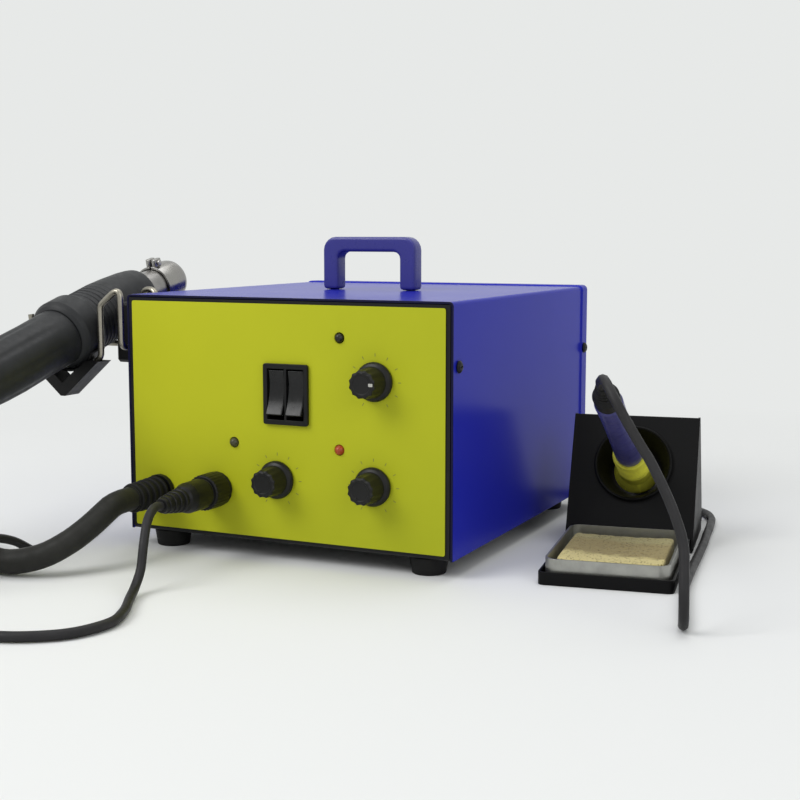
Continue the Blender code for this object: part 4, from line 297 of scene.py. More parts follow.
def make_sponge():
    """Dry cellulose: pale yellow in front, with two sizes of pores and a tan band across that is partly
    scorching and partly painted shade.
    """
    look = Surface("sponge_cellulose", (0.56, 0.48, 0.22), 0.95, sheen=0.1, specular=0.1)
    low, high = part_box("sponge")
    pores = look.spread(look.cells(620), 0.05, 0.34, 0, 1)
    fine = look.spread(look.cells(1500), 0.05, 0.4, 0, 1)
    depth = look.math("ADD", look.along("Y"), look.math("MULTIPLY", look.cloud(120, 4), 0.014))
    # The tan band across is partly scorching and partly painted shade on the sponge.
    scorched_and_shaded = look.spread(depth, low[1] + 0.022, low[1] + 0.028, 0, 0.9)
    rear = look.spread(depth, high[1] - 0.014, high[1] - 0.006, 0, 0.6)
    base = look.mix(scorched_and_shaded, (0.66, 0.57, 0.26), (0.3, 0.24, 0.105))
    base = look.mix(rear, base, (0.42, 0.39, 0.19))
    # The pores are painted dark brown: painted shade inside them.
    look.paint(look.mix(pores, (0.2, 0.15, 0.06), base))
    look.relief(look.math("ADD", pores, look.math("MULTIPLY", fine, 0.4)), 0.0006)


def make_lens(name, colour, glow=0.0):
    """Tinted lamp resin: deep colour, gloss and faint swirls."""
    look = Surface(name, colour, 0.22, specular=0.35)
    swirl = look.spread(look.cloud(700, 2), 0.3, 0.7, 0, 1)
    look.paint(look.mix(swirl, look.shade(0.75), look.shade(1.25)))
    look.roughen(swirl, 0.18, 0.28, 0, 1)
    look.fill({"Emission Color": (*colour, 1), "Emission Strength": glow})
    look.relief(look.cloud(1200, 2), 0.00002)


def make_hose_rubber(name, colour, roughness, pitch, depth):
    """Soft extruded silicone: dusty patches and faint die lines."""
    look = Surface(name, colour, roughness, specular=0.25)
    dust = look.spread(look.cloud(55, 5, 0.65), 0.45, 0.75, 0, 0.5)
    look.paint(look.mix(dust, colour, look.shade(1.8)))
    look.roughen(look.cloud(200), roughness - 0.08, roughness + 0.1)
    look.relief(look.cloud(pitch), depth)


def make_print(name, colour):
    """Screen print on the overlay: flat ink with a slightly broken edge tone."""
    look = Surface(name, colour, 0.5)
    broken = look.spread(look.cloud(1800, 2), 0.35, 0.65, 0, 1)
    look.paint(look.mix(broken, look.shade(0.85), look.shade(1.2)))
    look.roughen(broken, 0.45, 0.6, 0, 1)


def make_board():
    """Green solder mask with paler tracks."""
    look = Surface("board_green", (0.02, 0.13, 0.05), 0.4)
    tracks = look.spread(look.cells(260, "DISTANCE_TO_EDGE"), 0.02, 0.06, 1, 0)
    look.paint(look.mix(tracks, (0.015, 0.1, 0.04), (0.06, 0.24, 0.09)))
    look.relief(tracks, 0.00003)


make_cover_paint()
make_moulded("handle_blue", (0.034, 0.034, 0.22), 0.3, 2600, 0.00001, coat=0.2, variation=0.02)
make_overlay_film()
make_powder_coat("chassis_black", (0.006, 0.0062, 0.007), 0.4, 0.22)
make_powder_coat("stand_black", (0.0042, 0.0042, 0.0044), 0.42, 0.1)
make_moulded("rubber_black", (0.006, 0.006, 0.006), 0.62, 3200, 0.00004, specular=0.2)
make_moulded("plastic_black", (0.006, 0.006, 0.0062), 0.36, 2800, 0.00002, specular=0.2)
# The knob black has a faint yellow cast: a painted reflection of the lime panel.
make_moulded("knob_black", (0.007, 0.007, 0.0066), 0.38, 3000, 0.00002)
make_moulded("rocker_black", (0.006, 0.006, 0.0062), 0.22, 3200, 0.00001, specular=0.3)
make_moulded("gun_grey", (0.018, 0.019, 0.0205), 0.46, 2400, 0.00005)
make_heated_steel()
make_metal("pipe_steel", (0.32, 0.31, 0.3), 0.28, (1, 7, 7))
make_metal("wire_steel", (0.32, 0.3, 0.25), 0.32)
make_metal("barrel_steel", (0.42, 0.41, 0.39), 0.3)
make_moulded("ceramic", (0.7, 0.67, 0.6), 0.75, 1600, 0.00006)
make_lens("lamp_red", (0.33, 0.05, 0.016), 0.05)
make_lens("lamp_dark", (0.01, 0.009, 0.006))
make_lens("lamp_smoke", (0.055, 0.055, 0.026))
make_hose_rubber("hose_rubber", (0.013, 0.013, 0.011), 0.55, 900, 0.00008)
make_hose_rubber("cord_rubber", (0.016, 0.0155, 0.0165), 0.5, 1600, 0.00005)
make_moulded("iron_blue", (0.042, 0.042, 0.16), 0.34, 2600, 0.00002, coat=0.1)
make_moulded("iron_lime", (0.56, 0.55, 0.05), 0.6, 2200, 0.00006)
make_metal("tray_grey", (0.38, 0.38, 0.35), 0.36, (1, 12, 1))
make_sponge()
make_metal("tip_iron", (0.3, 0.28, 0.25), 0.42)
make_metal("core_steel", (0.2, 0.2, 0.21), 0.5, (1, 1, 20))
make_metal("pump_zinc", (0.38, 0.39, 0.4), 0.45)
make_board()
make_moulded("air_tube_clear", (0.55, 0.54, 0.48), 0.3, 2600, 0.00003)
make_print("print_dark", (0.17, 0.185, 0.02))
make_print("index_white", (0.42, 0.42, 0.38))


# ---- Making pieces ----


def own_place(obj, within):
    """Writes the piece's place into its mesh, so that the object stands at the origin."""
    if within is not None:
        obj.data.transform(within)
    obj.matrix_world = Matrix.Identity(4)
    return obj


def link(name, mesh):
    obj = bpy.data.objects.new(name, mesh)
    bpy.context.scene.collection.objects.link(obj)
    return obj


def link_edited(name, bm):
    """An object made of an edited mesh."""
    mesh = bpy.data.meshes.new(name)
    bm.to_mesh(mesh)
    bm.free()
    return link(name, mesh)


def round_corner(start, corner, end, steps):
    """Points on the curve from the start to the end that bends towards the corner."""
    shares = [step / steps for step in range(steps + 1)]
    return [start * (1 - s) ** 2 + corner * (2 * s * (1 - s)) + end * s**2 for s in shares]


def as_mesh(obj):
    """The object with its modifiers or curve turned into a plain mesh, under the same name."""
    bpy.context.view_layer.update()
    graph = bpy.context.evaluated_depsgraph_get()
    mesh = bpy.data.meshes.new_from_object(obj.evaluated_get(graph), depsgraph=graph)
    name, surfaces = obj.name, [slot.material for slot in obj.material_slots]
    bpy.data.objects.remove(obj, do_unlink=True)
    made = link(name, mesh)
    if not mesh.materials:
        for surface in surfaces:
            mesh.materials.append(surface)
    return made


def shaded(obj, angle=35):
    obj.data.shade_smooth()
    obj.data.set_sharp_from_angle(angle=math.radians(angle))
    return obj


LEAST_TURN = math.radians(14)
CORNER_SHARE = 0.45
ON_AXIS = 1e-6


def rounded(profile, radius, closed=False):
    """A profile with its corners rounded, as far as the lengths beside them allow."""
    points = [Vector(point) for point in profile]
    count = len(points)
    made = []
    for k, corner in enumerate(points):
        if not closed and k in (0, count - 1):
            made.append(corner)
            continue
        back, ahead = points[k - 1] - corner, points[(k + 1) % count] - corner
        turn = math.pi - back.angle(ahead)
        if turn < LEAST_TURN:
            made.append(corner)
            continue
        reach = min(radius * math.tan(turn / 2), back.length * CORNER_SHARE, ahead.length * CORNER_SHARE)
        start, end = corner + back.normalized() * reach, corner + ahead.normalized() * reach
        made += round_corner(start, corner, end, 3)
    return [(point.x, point.y) for point in made]


def lathe(name, profile, surface, within, body, replaces=(), steps=72, edge=0.0004, closed=False, wave=None):
    """A turned piece. wave(angle, radius, height) gives how far its surface is cut back there."""
    profile = rounded(profile, edge, closed)
    bm = bmesh.new()
    rings = []
    for radius, height in profile:
        if radius < ON_AXIS:
            rings.append([bm.verts.new((0, 0, height))])
            continue
        ring = []
        for step in range(steps):
            angle = 2 * math.pi * step / steps
            reach = radius - (wave(angle, radius, height) if wave else 0)
            ring.append(bm.verts.new((reach * math.cos(angle), reach * math.sin(angle), height)))
        rings.append(ring)
    pairs = list(zip(rings, rings[1:]))
    if closed:
        pairs.append((rings[-1], rings[0]))
    for lower, upper in pairs:
        for step in range(steps):
            way = ((lower, step), (lower, step + 1), (upper, step + 1), (upper, step))
            unique = list(dict.fromkeys(ring[k % len(ring)] for ring, k in way))
            if len(unique) > 2:
                bm.faces.new(unique)
    bmesh.ops.recalc_face_normals(bm, faces=bm.faces)
    return settle(shaded(link_edited(name, bm)), surface, within, body, replaces)


def ridges(count, depth, inner, low, high, power=1):
    """A wave for lathe: grooves along the part outside the inner radius, between two heights."""

    def wave(angle, radius, height):
        if radius < inner or not low < height < high:
            return 0
        return depth * (0.5 + 0.5 * math.cos(count * angle)) ** power

    return wave


def settle(obj, surface, within, body, replaces=()):
    """Gives a piece its finish, place and body, and hides the solids that it stands for."""
    if surface:
        obj.data.materials.clear()
        obj.data.materials.append(FINISH[surface])
    own_place(obj, within)
    if body:
        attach(obj, body)
    if replaces:
        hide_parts(*replaces)
    return obj


def refined(node, surface, body="station", edge=0.0003, segments=2):
    """A merged copy of a CAD piece with its edges rounded and its large faces shaded flat."""
    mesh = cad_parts[node].data.copy()
    bm = bmesh.new()
    bm.from_mesh(mesh)
    bmesh.ops.remove_doubles(bm, verts=bm.verts, dist=2e-6)
    bmesh.ops.dissolve_limit(bm, angle_limit=math.radians(1.0), verts=bm.verts, edges=bm.edges)
    bm.to_mesh(mesh)
    bm.free()
    obj = link(f"{node}_finished", mesh)
    obj.data.materials.clear()
    obj.data.materials.append(FINISH[surface])
    bevel = obj.modifiers.new("rounded edges", "BEVEL")
    bevel.width = edge
    bevel.segments = segments
    bevel.limit_method = "ANGLE"
    bevel.angle_limit = math.radians(28)
    bevel.use_clamp_overlap = True
    made = shaded(as_mesh(obj), 40)
    weighted = made.modifiers.new("even shading", "WEIGHTED_NORMAL")
    weighted.keep_sharp = True
    weighted.weight = 100
    return settle(as_mesh(made), None, None, body, (node,))


def block(name, low, high, within=None, edge=0.0):
    """A box with its edges rounded, for cutting or as a small part."""
    bm = bmesh.new()
    bmesh.ops.create_cube(bm, size=1.0)
    bmesh.ops.scale(bm, verts=bm.verts, vec=Vector(high) - Vector(low))
    bmesh.ops.translate(bm, verts=bm.verts, vec=(Vector(low) + Vector(high)) / 2)
    if edge:
        bmesh.ops.bevel(bm, geom=bm.edges, offset=edge, segments=3, affect="EDGES", profile=0.5)
    return own_place(shaded(link_edited(name, bm)), within)


def cut_away(obj, cutter):
    """Takes the cutter's space out of a piece, and the cutter out of the scene."""
    modifier = obj.modifiers.new("cut", "BOOLEAN")
    modifier.operation = "DIFFERENCE"
    modifier.solver = "EXACT"
    modifier.object = cutter
    bpy.context.view_layer.update()
    mesh = bpy.data.meshes.new_from_object(obj.evaluated_get(bpy.context.evaluated_depsgraph_get()))
    obj.modifiers.clear()
    obj.data = mesh
    bpy.data.objects.remove(cutter, do_unlink=True)
    shaded(obj)


def tube(name, points, radius, surface, resolution=4):
    """A round tube along the points, with flat ends."""
    curve = bpy.data.curves.new(name, "CURVE")
    curve.dimensions = "3D"
    curve.bevel_depth = radius
    curve.bevel_resolution = resolution
    curve.use_fill_caps = True
    spline = curve.splines.new("POLY")
    spline.points.add(len(points) - 1)
    for point, target in zip(spline.points, points):
        point.co = (*target, 1.0)
    curve.materials.append(FINISH[surface])
    return shaded(as_mesh(link(name, curve)), 50)


def bent(corners, radius):
    """The corners joined by straight runs, with a bend of this radius at each inner corner."""
    corners = [Vector(corner) for corner in corners]
    points = [corners[0]]
    for before, corner, after in zip(corners, corners[1:], corners[2:]):
        back, ahead = (before - corner).normalized(), (after - corner).normalized()
        half = back.angle(ahead) / 2
        reach = min(radius / math.tan(half), (before - corner).length * 0.48, (after - corner).length * 0.48)
        start, end = corner + back * reach, corner + ahead * reach
        points += round_corner(start, corner, end, 8)
    points.append(corners[-1])
    return points


FINE_STEPS = 24


def smooth_route(route, spacing):
    """Evenly spaced points on a smooth curve through the route."""
    route = [Vector(point) for point in route]
    ends = [route[0] * 2 - route[1], *route, route[-1] * 2 - route[-2]]
    fine = []
    for a, b, c, d in zip(ends, ends[1:], ends[2:], ends[3:]):
        for k in range(FINE_STEPS):
            t = k / FINE_STEPS
            square, cube = (2 * a - 5 * b + 4 * c - d) * t**2, (3 * b - a - 3 * c + d) * t**3
            fine.append(0.5 * (2 * b + (c - a) * t + square + cube))
    fine.append(route[-1])
    lengths = [0.0]
    for first, second in zip(fine, fine[1:]):
        lengths.append(lengths[-1] + (second - first).length)
    count = max(2, round(lengths[-1] / spacing))
    points, at = [], 0
    for k in range(count + 1):
        wanted = lengths[-1] * k / count
        while at < len(lengths) - 2 and lengths[at + 1] < wanted:
            at += 1
        share = (wanted - lengths[at]) / max(lengths[at + 1] - lengths[at], 1e-9)
        points.append(fine[at].lerp(fine[at + 1], share))
    return points


# ---- Geometry Nodes: what repeats, or follows a path ----


class Grower(Tree):
    """A Geometry Nodes tree with named inputs, used to grow plain meshes."""

    def __init__(self, name, **inputs):
        super().__init__(bpy.data.node_groups.new(name, "GeometryNodeTree"))
        for label, kind in (*inputs.items(), ("Finish", "Material")):
            label = label.replace("_", " ")
            self.tree.interface.new_socket(label, in_out="INPUT", socket_type=f"NodeSocket{kind}")
        self.tree.interface.new_socket("Geometry", in_out="OUTPUT", socket_type="NodeSocketGeometry")
        self.inputs = self.node("NodeGroupInput")

    def circle(self, corners, radius):
        sockets = {"Resolution": corners, "Radius": radius}
        return self.node("GeometryNodeCurvePrimitiveCircle", sockets)["Curve"]

    def sweep(self, curve, profile, capped=False):
        sockets = {"Curve": curve, "Profile Curve": profile, "Fill Caps": capped}
        return self.node("GeometryNodeCurveToMesh", sockets)["Mesh"]

    def at_points(self, points, instance, **more):
        sockets = {"Points": points, "Instance": instance, **more}
        return self.node("GeometryNodeInstanceOnPoints", sockets)["Instances"]

    def close(self, geometry):
        """Ends the tree in real geometry with its finish."""
        real = self.node("GeometryNodeRealizeInstances", {"Geometry": geometry})[0]
        sockets = {"Geometry": real, "Material": "Finish"}
        self.node("NodeGroupOutput", {"Geometry": self.node("GeometryNodeSetMaterial", sockets)[0]})
        return self

    def grow(self, name, surface, within, body, replaces=(), **values):
        """A plain mesh grown from these values."""
        obj = link(name, bpy.data.meshes.new(name))
        modifier = obj.modifiers.new("grower", "NODES")
        modifier.node_group = self.tree
        values = {label.replace("_", " "): value for label, value in values.items()}
        values["Finish"] = FINISH[surface]
        for item in self.tree.interface.items_tree:
            if item.item_type == "SOCKET" and item.in_out == "INPUT" and item.name in values:
                modifier[item.identifier] = values[item.name]
        made = as_mesh(obj)
        bm = bmesh.new()
        bm.from_mesh(made.data)
        bmesh.ops.remove_doubles(bm, verts=bm.verts, dist=1e-7)
        bmesh.ops.recalc_face_normals(bm, faces=bm.faces)
        bm.to_mesh(made.data)
        bm.free()
        return settle(shaded(made, 40), None, within, body, replaces)


def tick_grower():
    """Short printed marks on an arc, such as a dial's."""
    g = Grower("dial_ticks", Count="Int", Radius="Float", Start="Float", Sweep="Float", Size="Vector")
    sockets = {"Resolution": "Count", "Radius": "Radius", "Start Angle": "Start", "Sweep Angle": "Sweep"}
    arc = g.node("GeometryNodeCurveArc", sockets)["Curve"]
    points = g.node("GeometryNodeCurveToPoints", {"Curve": arc}, mode="EVALUATED")["Points"]
    place = g.node("ShaderNodeSeparateXYZ", {0: g.node("GeometryNodeInputPosition")[0]})
    turned = g.vector(Z=g.math("ARCTAN2", place["Y"], place["X"]))
    rotation = g.node("FunctionNodeEulerToRotation", {0: turned})[0]
    mark = g.node("GeometryNodeMeshCube", {"Size": "Size"})["Mesh"]
    return g.close(g.at_points(points, mark, Rotation=rotation))


def spring_grower():
    """Round wire wound in an even coil."""
    g = Grower("wire_coil", Turns="Float", Radius="Float", Length="Float", Wire="Float")
    sockets = {
        "Resolution": 40, "Rotations": "Turns", "Height": "Length",
        "Start Radius": "Radius", "End Radius": "Radius",
    }
    spiral = g.node("GeometryNodeCurveSpiral", sockets)["Curve"]
    return g.close(g.sweep(spiral, g.circle(10, "Wire"), True))


def rib_grower():
    """Rings in a row along +Z that grow or shrink from the first to the last."""
    g = Grower(
        "row_of_ribs", Count="Int", Start="Float", Pitch="Float", Radius="Float", Bead="Float", Last="Float"
    )
    sockets = {"Count": "Count", "Start Location": g.vector(Z="Start"), "Offset": g.vector(Z="Pitch")}
    line = g.node("GeometryNodeMeshLine", sockets)["Mesh"]
    rib = g.sweep(g.circle(56, "Radius"), g.circle(10, "Bead"))
    index = g.node("GeometryNodeInputIndex")[0]
    size = g.spread(index, 0.0, g.math("SUBTRACT", "Count", 1.0), 1.0, "Last")
    return g.close(g.at_points(line, rib, Scale=g.vector(X=size, Y=size, Z=1.0)))


def screw_grower():
    """Four copies of one screw, in front and behind on both side walls, each turned outwards."""
    g = Grower("wall_screws", Screw="Object", Reach="Float", Front="Vector", Rear="Vector", Rear_Rise="Float")
    rear_reach = g.math("ADD", "Reach", "Rear Rise")
    screws = []
    for label, reach in (("Front", "Reach"), ("Rear", rear_reach)):
        for side in (-1, 1):
            shift = g.vector(X=g.math("MULTIPLY", reach, float(side)))
            place = g.node("ShaderNodeVectorMath", {0: label, 1: shift}, operation="ADD")[0]
            screw = g.node("GeometryNodeObjectInfo", {"Object": "Screw"})["Geometry"]
            sockets = {"Geometry": screw, "Translation": place, "Rotation": (0, side * math.pi / 2, 0)}
            screws.append(g.node("GeometryNodeTransform", sockets)[0])
    return g.close(g.node("GeometryNodeJoinGeometry", {"Geometry": screws})[0])


TICKS = tick_grower()
SPRING = spring_grower()
RIBS = rib_grower()
SCREWS = screw_grower()


# ---- Hose and cord ----

CORD_ON_GROUND = 2.6


def from_mm(points):
    """Points given in millimetres. One without a height is cord that lies on the ground."""
    return [tuple(value / 1000 for value in (*point, CORD_ON_GROUND)[:3]) for point in points]


HOSE_START = Vector((OUTLET[0], -0.0283, CASE_BOTTOM + OUTLET[1]))
HOSE_OUT_ROUTE = from_mm([
    (-74.3, -43.2, 30.9), (-75.4, -50.5, 27.2), (-77.8, -58.8, 22.2), (-82.8, -67.5, 16.4),
    (-92.2, -75.7, 10.5), (-106.5, -81, 7.2), (-123.5, -77.5, 6.8), (-139, -65.5, 6.8), (-154.5, -53, 6.8),
])
HOSE_IN_ROUTE = from_mm([
    (-166, -177, 21.8), (-150, -170.5, 35), (-139.3, -156.5, 52.5), (-135.5, -136, 70.2),
])
HOSE_STRAIGHT = 0.008
PLUG_END = Vector((SOCKET[0], -0.0516, CASE_BOTTOM + SOCKET[1]))
CORD_FOOT = (216.4, -41.6, 25.6)
CORD_ROUTE = from_mm([
    (-35, -68, 31.5), (-32.2, -75.5, 21.5), (-30.8, -80, 11.2), (-29.2, -87, 4.5), (-23.5, -99),
    (-12.5, -119), (-8, -137), (-17, -158), (-45, -171), (-83, -160), (-106, -135, 3), (-117, -108, 8),
    (-120, -93, 15), (-120.5, -79, 17), (-119.2, -65, 13), (-117.2, -50, 4.5), (-117, -34), (-124.3, -6.3),
    (-140.3, 32.2), (-154, 64), (-165, 95), (-168, 130), (-156, 175), (-120, 215), (-60, 233), (20, 235),
    (100, 229), (145, 218), (168, 206), (177.5, 190), (181.8, 168), (185, 145), (188, 125), (191.2, 100),
    (194.8, 70), (198, 45), (201.2, 25), (207.1, -0.7), (210.2, -13.6), (212.9, -24.8), (214.5, -33),
    (215.8, -38.3, 4.1), (216.8, -42.3, 8.1), (217.1, -43.7, 13.6), (216.9, -43.3, 19.9), CORD_FOOT,
    (215.9, -39.9, 31.3), (215.3, -38.4, 35.8), (213.1, -36.4, 43.3), (207.3, -34, 56), (199, -31.4, 70.3),
    (193.7, -29.8, 77.5), (187.2, -28, 86.7), (180.5, -26.4, 97), (174, -19.5, 104),
])
CORD_STRAIGHT = 0.006
IRON_BOOT_END = -0.145
GUN_BOOT_END = -0.1118


def in_frame(points):
    return [Vector(point) + FRONT_MIDDLE for point in points]


def coil_points():
    """One and a half turns: the second lies on the first, after a long rise."""
    points = []
    for step in range(1, COIL_STEPS):
        turn = COIL_TURNS * 360 * step / COIL_STEPS
        angle = math.radians(90 + turn)
        share = min(1.0, max(0.0, (turn - COIL_RISES_FROM) / COIL_RISES_OVER))
        lift = share * share * (3 - 2 * share)
        x, y = COIL_CENTRE[0] + COIL_RADIUS * math.cos(angle), COIL_CENTRE[1] + COIL_RADIUS * math.sin(angle)
        points.append((x, y, COIL_LOW + COIL_RISE * lift))
    return points


def make_hose():
    gun_end = GUN @ Vector((0, GUN_BOOT_END, 0))
    gun_way = GUN.to_3x3() @ Vector((0, 1, 0))
    middle, rear_y, front_y = COIL_CENTRE[0], COIL_CENTRE[1] + COIL_RADIUS, COIL_CENTRE[1] - COIL_RADIUS
    x = middle + COIL_TAIL
    back, front = (x, rear_y, 0.0066), (x, front_y, 0.0192)
    coil_start, coil_end = (middle, rear_y, COIL_LOW), (middle, front_y, COIL_LOW + COIL_RISE)
    route = [HOSE_START, HOSE_START - Vector((0, HOSE_STRAIGHT, 0)), *HOSE_OUT_ROUTE]
    route += [(x + HOSE_STRAIGHT, *back[1:]), back, coil_start, *coil_points(), coil_end, front]
    route += HOSE_IN_ROUTE
    route = in_frame(route) + [gun_end - gun_way * HOSE_STRAIGHT, gun_end]
    path = smooth_route(route, 0.004)
    hose = tube("air_hose", path, HOSE_RADIUS, "hose_rubber", 5)
    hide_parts("hose_from_outlet", "hose_coil", "hose_to_gun")
    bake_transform(hose)


def make_cord():
    iron_end = IRON @ Vector((0, IRON_BOOT_END, 0))
    iron_way = IRON.to_3x3() @ Vector((0, 1, 0))
    route = [PLUG_END, PLUG_END - Vector((0, CORD_STRAIGHT, 0)), *CORD_ROUTE]
    route = in_frame(route) + [iron_end - iron_way * CORD_STRAIGHT, iron_end]
    path = smooth_route(route, 0.003)
    cord = tube("iron_lead", path, CORD_RADIUS, "cord_rubber", 3)
    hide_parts("iron_cord", "iron_cord_rise")
    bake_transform(cord)


def make_boot(name, within, body, replaces, front, end, first, last, ribs, collar):
    """A strain relief: a tapered sleeve with rounded ribs that shrink towards the cord."""
    profile = [*collar, (first, front), (last, end), (0, end)]
    lathe(name, profile, "rubber_black", within, body, replaces, steps=56)
    pitch = (end - front) / ribs
    RIBS.grow(
        f"{name}_ribs", "rubber_black", within, body,
        Count=ribs, Start=front + pitch * 0.45, Pitch=pitch, Radius=first + (last - first) * 0.45 / ribs,
        Bead=abs(pitch) * 0.24, Last=(last + 0.0001) / first,
    )


def make_boots():
    make_boot(
        "hose_boot_sleeve", on_panel(*OUTLET), "station", ("hose_boot",),
        0.0043, 0.0283, 0.0073, 0.0066, 5, [(0, 0.0123), (0.0053, 0.0123), (0.0053, 0.0043)],
    )
    make_boot(
        "gun_boot_sleeve", GUN_AXIS, "gun", ("gun_boot",),
        -0.0878, -0.1118, 0.0083, 0.0066, 5, [(0, -0.0798), (0.006, -0.0798), (0.006, -0.0878)],
    )
    make_boot(
        "iron_boot_sleeve", IRON_AXIS, "iron", ("iron_boot",),
        -0.1343, -0.145, 0.0046, 0.003, 4,
        [(0, -0.1223), (0.0064, -0.1223), (0.0064, -0.131), (0.005, -0.1338)],
    )


# ---- Casing ----


def make_casing():
    refined("cover", "cover_blue")
    refined("chassis", "chassis_black", segments=1)
    refined("rear_panel", "chassis_black", segments=1)
    refined("carry_handle", "handle_blue", edge=0.0004)
    refined("panel_overlay", "overlay_lime", edge=0.0001, segments=1)
    refined("mains_inlet", "plastic_black")
    side, front, rear = CASE_WIDTH / 2 - 0.018, 0.013, CASE_DEPTH - 0.016
    profile = [
        (0, 0.0035), (0.0038, 0.0035), (0.0038, 0), (0.0086, 0), (0.0093, 0.0046), (0.01, 0.0092),
        (0, 0.0092),
    ]
    for row, y in (("front", front), ("rear", rear)):
        for hand, x in (("left", -side), ("right", side)):
            node = f"foot_{row}_{hand}"
            lathe(f"{node}_turned", profile, "rubber_black", spot((x, y, 0)), "station", (node,), edge=0.0009)


def make_screw():
    """Pan head with a cross recess, on a short shank."""
    profile = [
        (0, 0.0016), (0.0019, 0.0016), (0.0031, 0.0007), (0.0031, 0), (0.0014, 0), (0.0014, -0.006),
        (0, -0.006),
    ]
    profile = rounded(profile, 0.0003)
    screw = lathe("screw_pattern", profile, "chassis_black", Matrix.Identity(4), None, steps=40)
    for across, up in ((0.0016, 0.0003), (0.0003, 0.0016)):
        cut_away(screw, block("recess", (-across, -up, 0.0008), (across, up, 0.0024)))
    return screw


def make_screws():
    pattern = make_screw()
    SCREWS.grow(
        "cover_screws", "chassis_black", CASING, "station",
        [f"cover_screw_{row}_{hand}" for row in ("front", "rear") for hand in ("left", "right")],
        Screw=pattern, Reach=CASE_WIDTH / 2 + GAP, Front=(0, 0.0062, CASE_BOTTOM + 0.0946),
        Rear=(0, 0.2018, CASE_BOTTOM + 0.089), Rear_Rise=0.0008,
    )
    bpy.data.objects.remove(pattern, do_unlink=True)


def make_switch():
    refined("power_switch_housing", "plastic_black", edge=0.0005, segments=3)
    for side in ("left", "right"):
        refined(f"rocker_{side}", "rocker_black", f"rocker_{side}")


def make_knobs():
    profile = [
        (0, 0.0158), (0.0046, 0.0158), (0.0048, 0.0161), (0.0062, 0.0161), (0.0071, 0.0154), (0.0077, 0.0046),
        (0.009, 0.004), (0.0098, 0.0028), (0.0098, 0.0013), (0.0066, 0.0013), (0.0066, 0.0077),
        (0.003, 0.0077), (0.003, -0.0095), (0, -0.0095),
    ]
    flutes = ridges(12, 0.0006, 0.006, 0.005, 1, 0.7)
    for name, (x, z, pointing) in KNOBS.items():
        within = on_panel(x, z)
        body = f"knob_{name}"
        lathe(f"knob_{name}_turned", profile, "knob_black", within, body, (body,), steps=144, wave=flutes)
        turned = within @ Matrix.Rotation(math.radians(-pointing), 4, "Z")
        index = block(f"{body}_index", (-0.0008, 0.0038, 0.0157), (0.0008, 0.006, 0.0162), turned, 0.0002)
        settle(index, "index_white" if name == "hot_air" else "knob_black", None, body)


def make_lamps():
    profile = [
        (0, 0.003), (0.0008, 0.00295), (0.0016, 0.0024), (0.0022, 0.0016), (0.0025, 0.0007),
        (0.0025, -0.0018), (0.003, -0.0018), (0.003, -0.0028), (0.0025, -0.0028), (0.0025, -0.006),
        (0, -0.006),
    ]
    for name, (x, z, colour) in LAMPS.items():
        lathe(f"lamp_{name}_lens", profile, colour, on_panel(x, z), "station", (f"lamp_{name}",), steps=40)


def make_fittings():
    """Air outlet, iron socket and iron plug."""
    refined("air_outlet", "plastic_black")
    refined("iron_socket", "plastic_black")
    lap, ring_base = 0.001, 0.0031
    ring_end = ring_base + 0.0125
    body_end = ring_end + 0.018
    profile = [
        (0, lap + GAP), (0.0052, lap + GAP), (0.0052, 0.0103), (0.0075, 0.0103), (0.0075, ring_base),
        (0.0093, ring_base), (0.0093, ring_end - 0.0008), (0.0085, ring_end), (0.0073, ring_end),
        (0.0079, ring_end + 0.0012), (0.0078, body_end - 0.004), (0.0066, body_end),
        (0.0055, body_end + 0.001), (0.0036, body_end + 0.018), (0, body_end + 0.018),
    ]
    knurl = ridges(28, 0.00035, 0.009, ring_base + 0.0012, ring_end - 0.0006)
    within = on_panel(*SOCKET)
    lathe(
        "iron_plug_turned", profile, "plastic_black", within, "station", ("iron_plug",),
        steps=168, wave=knurl,
    )
    RIBS.grow(
        "iron_plug_ribs", "plastic_black", within, "station",
        Count=4, Start=body_end + 0.0034, Pitch=0.0038, Radius=0.0052, Bead=0.0009, Last=0.74,
    )


def make_dial_marks():
    """Printed scales round the knobs."""
    for name, (x, z, _) in KNOBS.items():
        within = spot((0, 0, PANEL_FACE + 0.00002), within=on_panel(x, z))
        TICKS.grow(
            f"dial_{name}", "print_dark", within, "station",
            Count=11, Radius=0.0132, Start=math.radians(-60), Sweep=math.radians(300),
            Size=(0.0016, 0.0004, 0.00004),
        )


def make_inside():
    """The pieces that stay as they are, in their finish."""
    for node, surface in (
        ("transformer", "core_steel"),
        ("air_pump", "pump_zinc"),
        ("air_tube", "air_tube_clear"),
        ("circuit_board", "board_green"),
        ("potentiometer_hot_air", "core_steel"),
        ("potentiometer_airflow", "core_steel"),
        ("potentiometer_iron", "core_steel"),
        ("gun_heater", "ceramic"),
    ):
        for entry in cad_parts[node].material_slots:
            entry.material = FINISH[surface]


# ---- Holder and gun ----


def gun_middle(y):
    return GUN_CENTRE[2] + (y - GUN_CENTRE[1]) * math.tan(GUN_SLOPE)


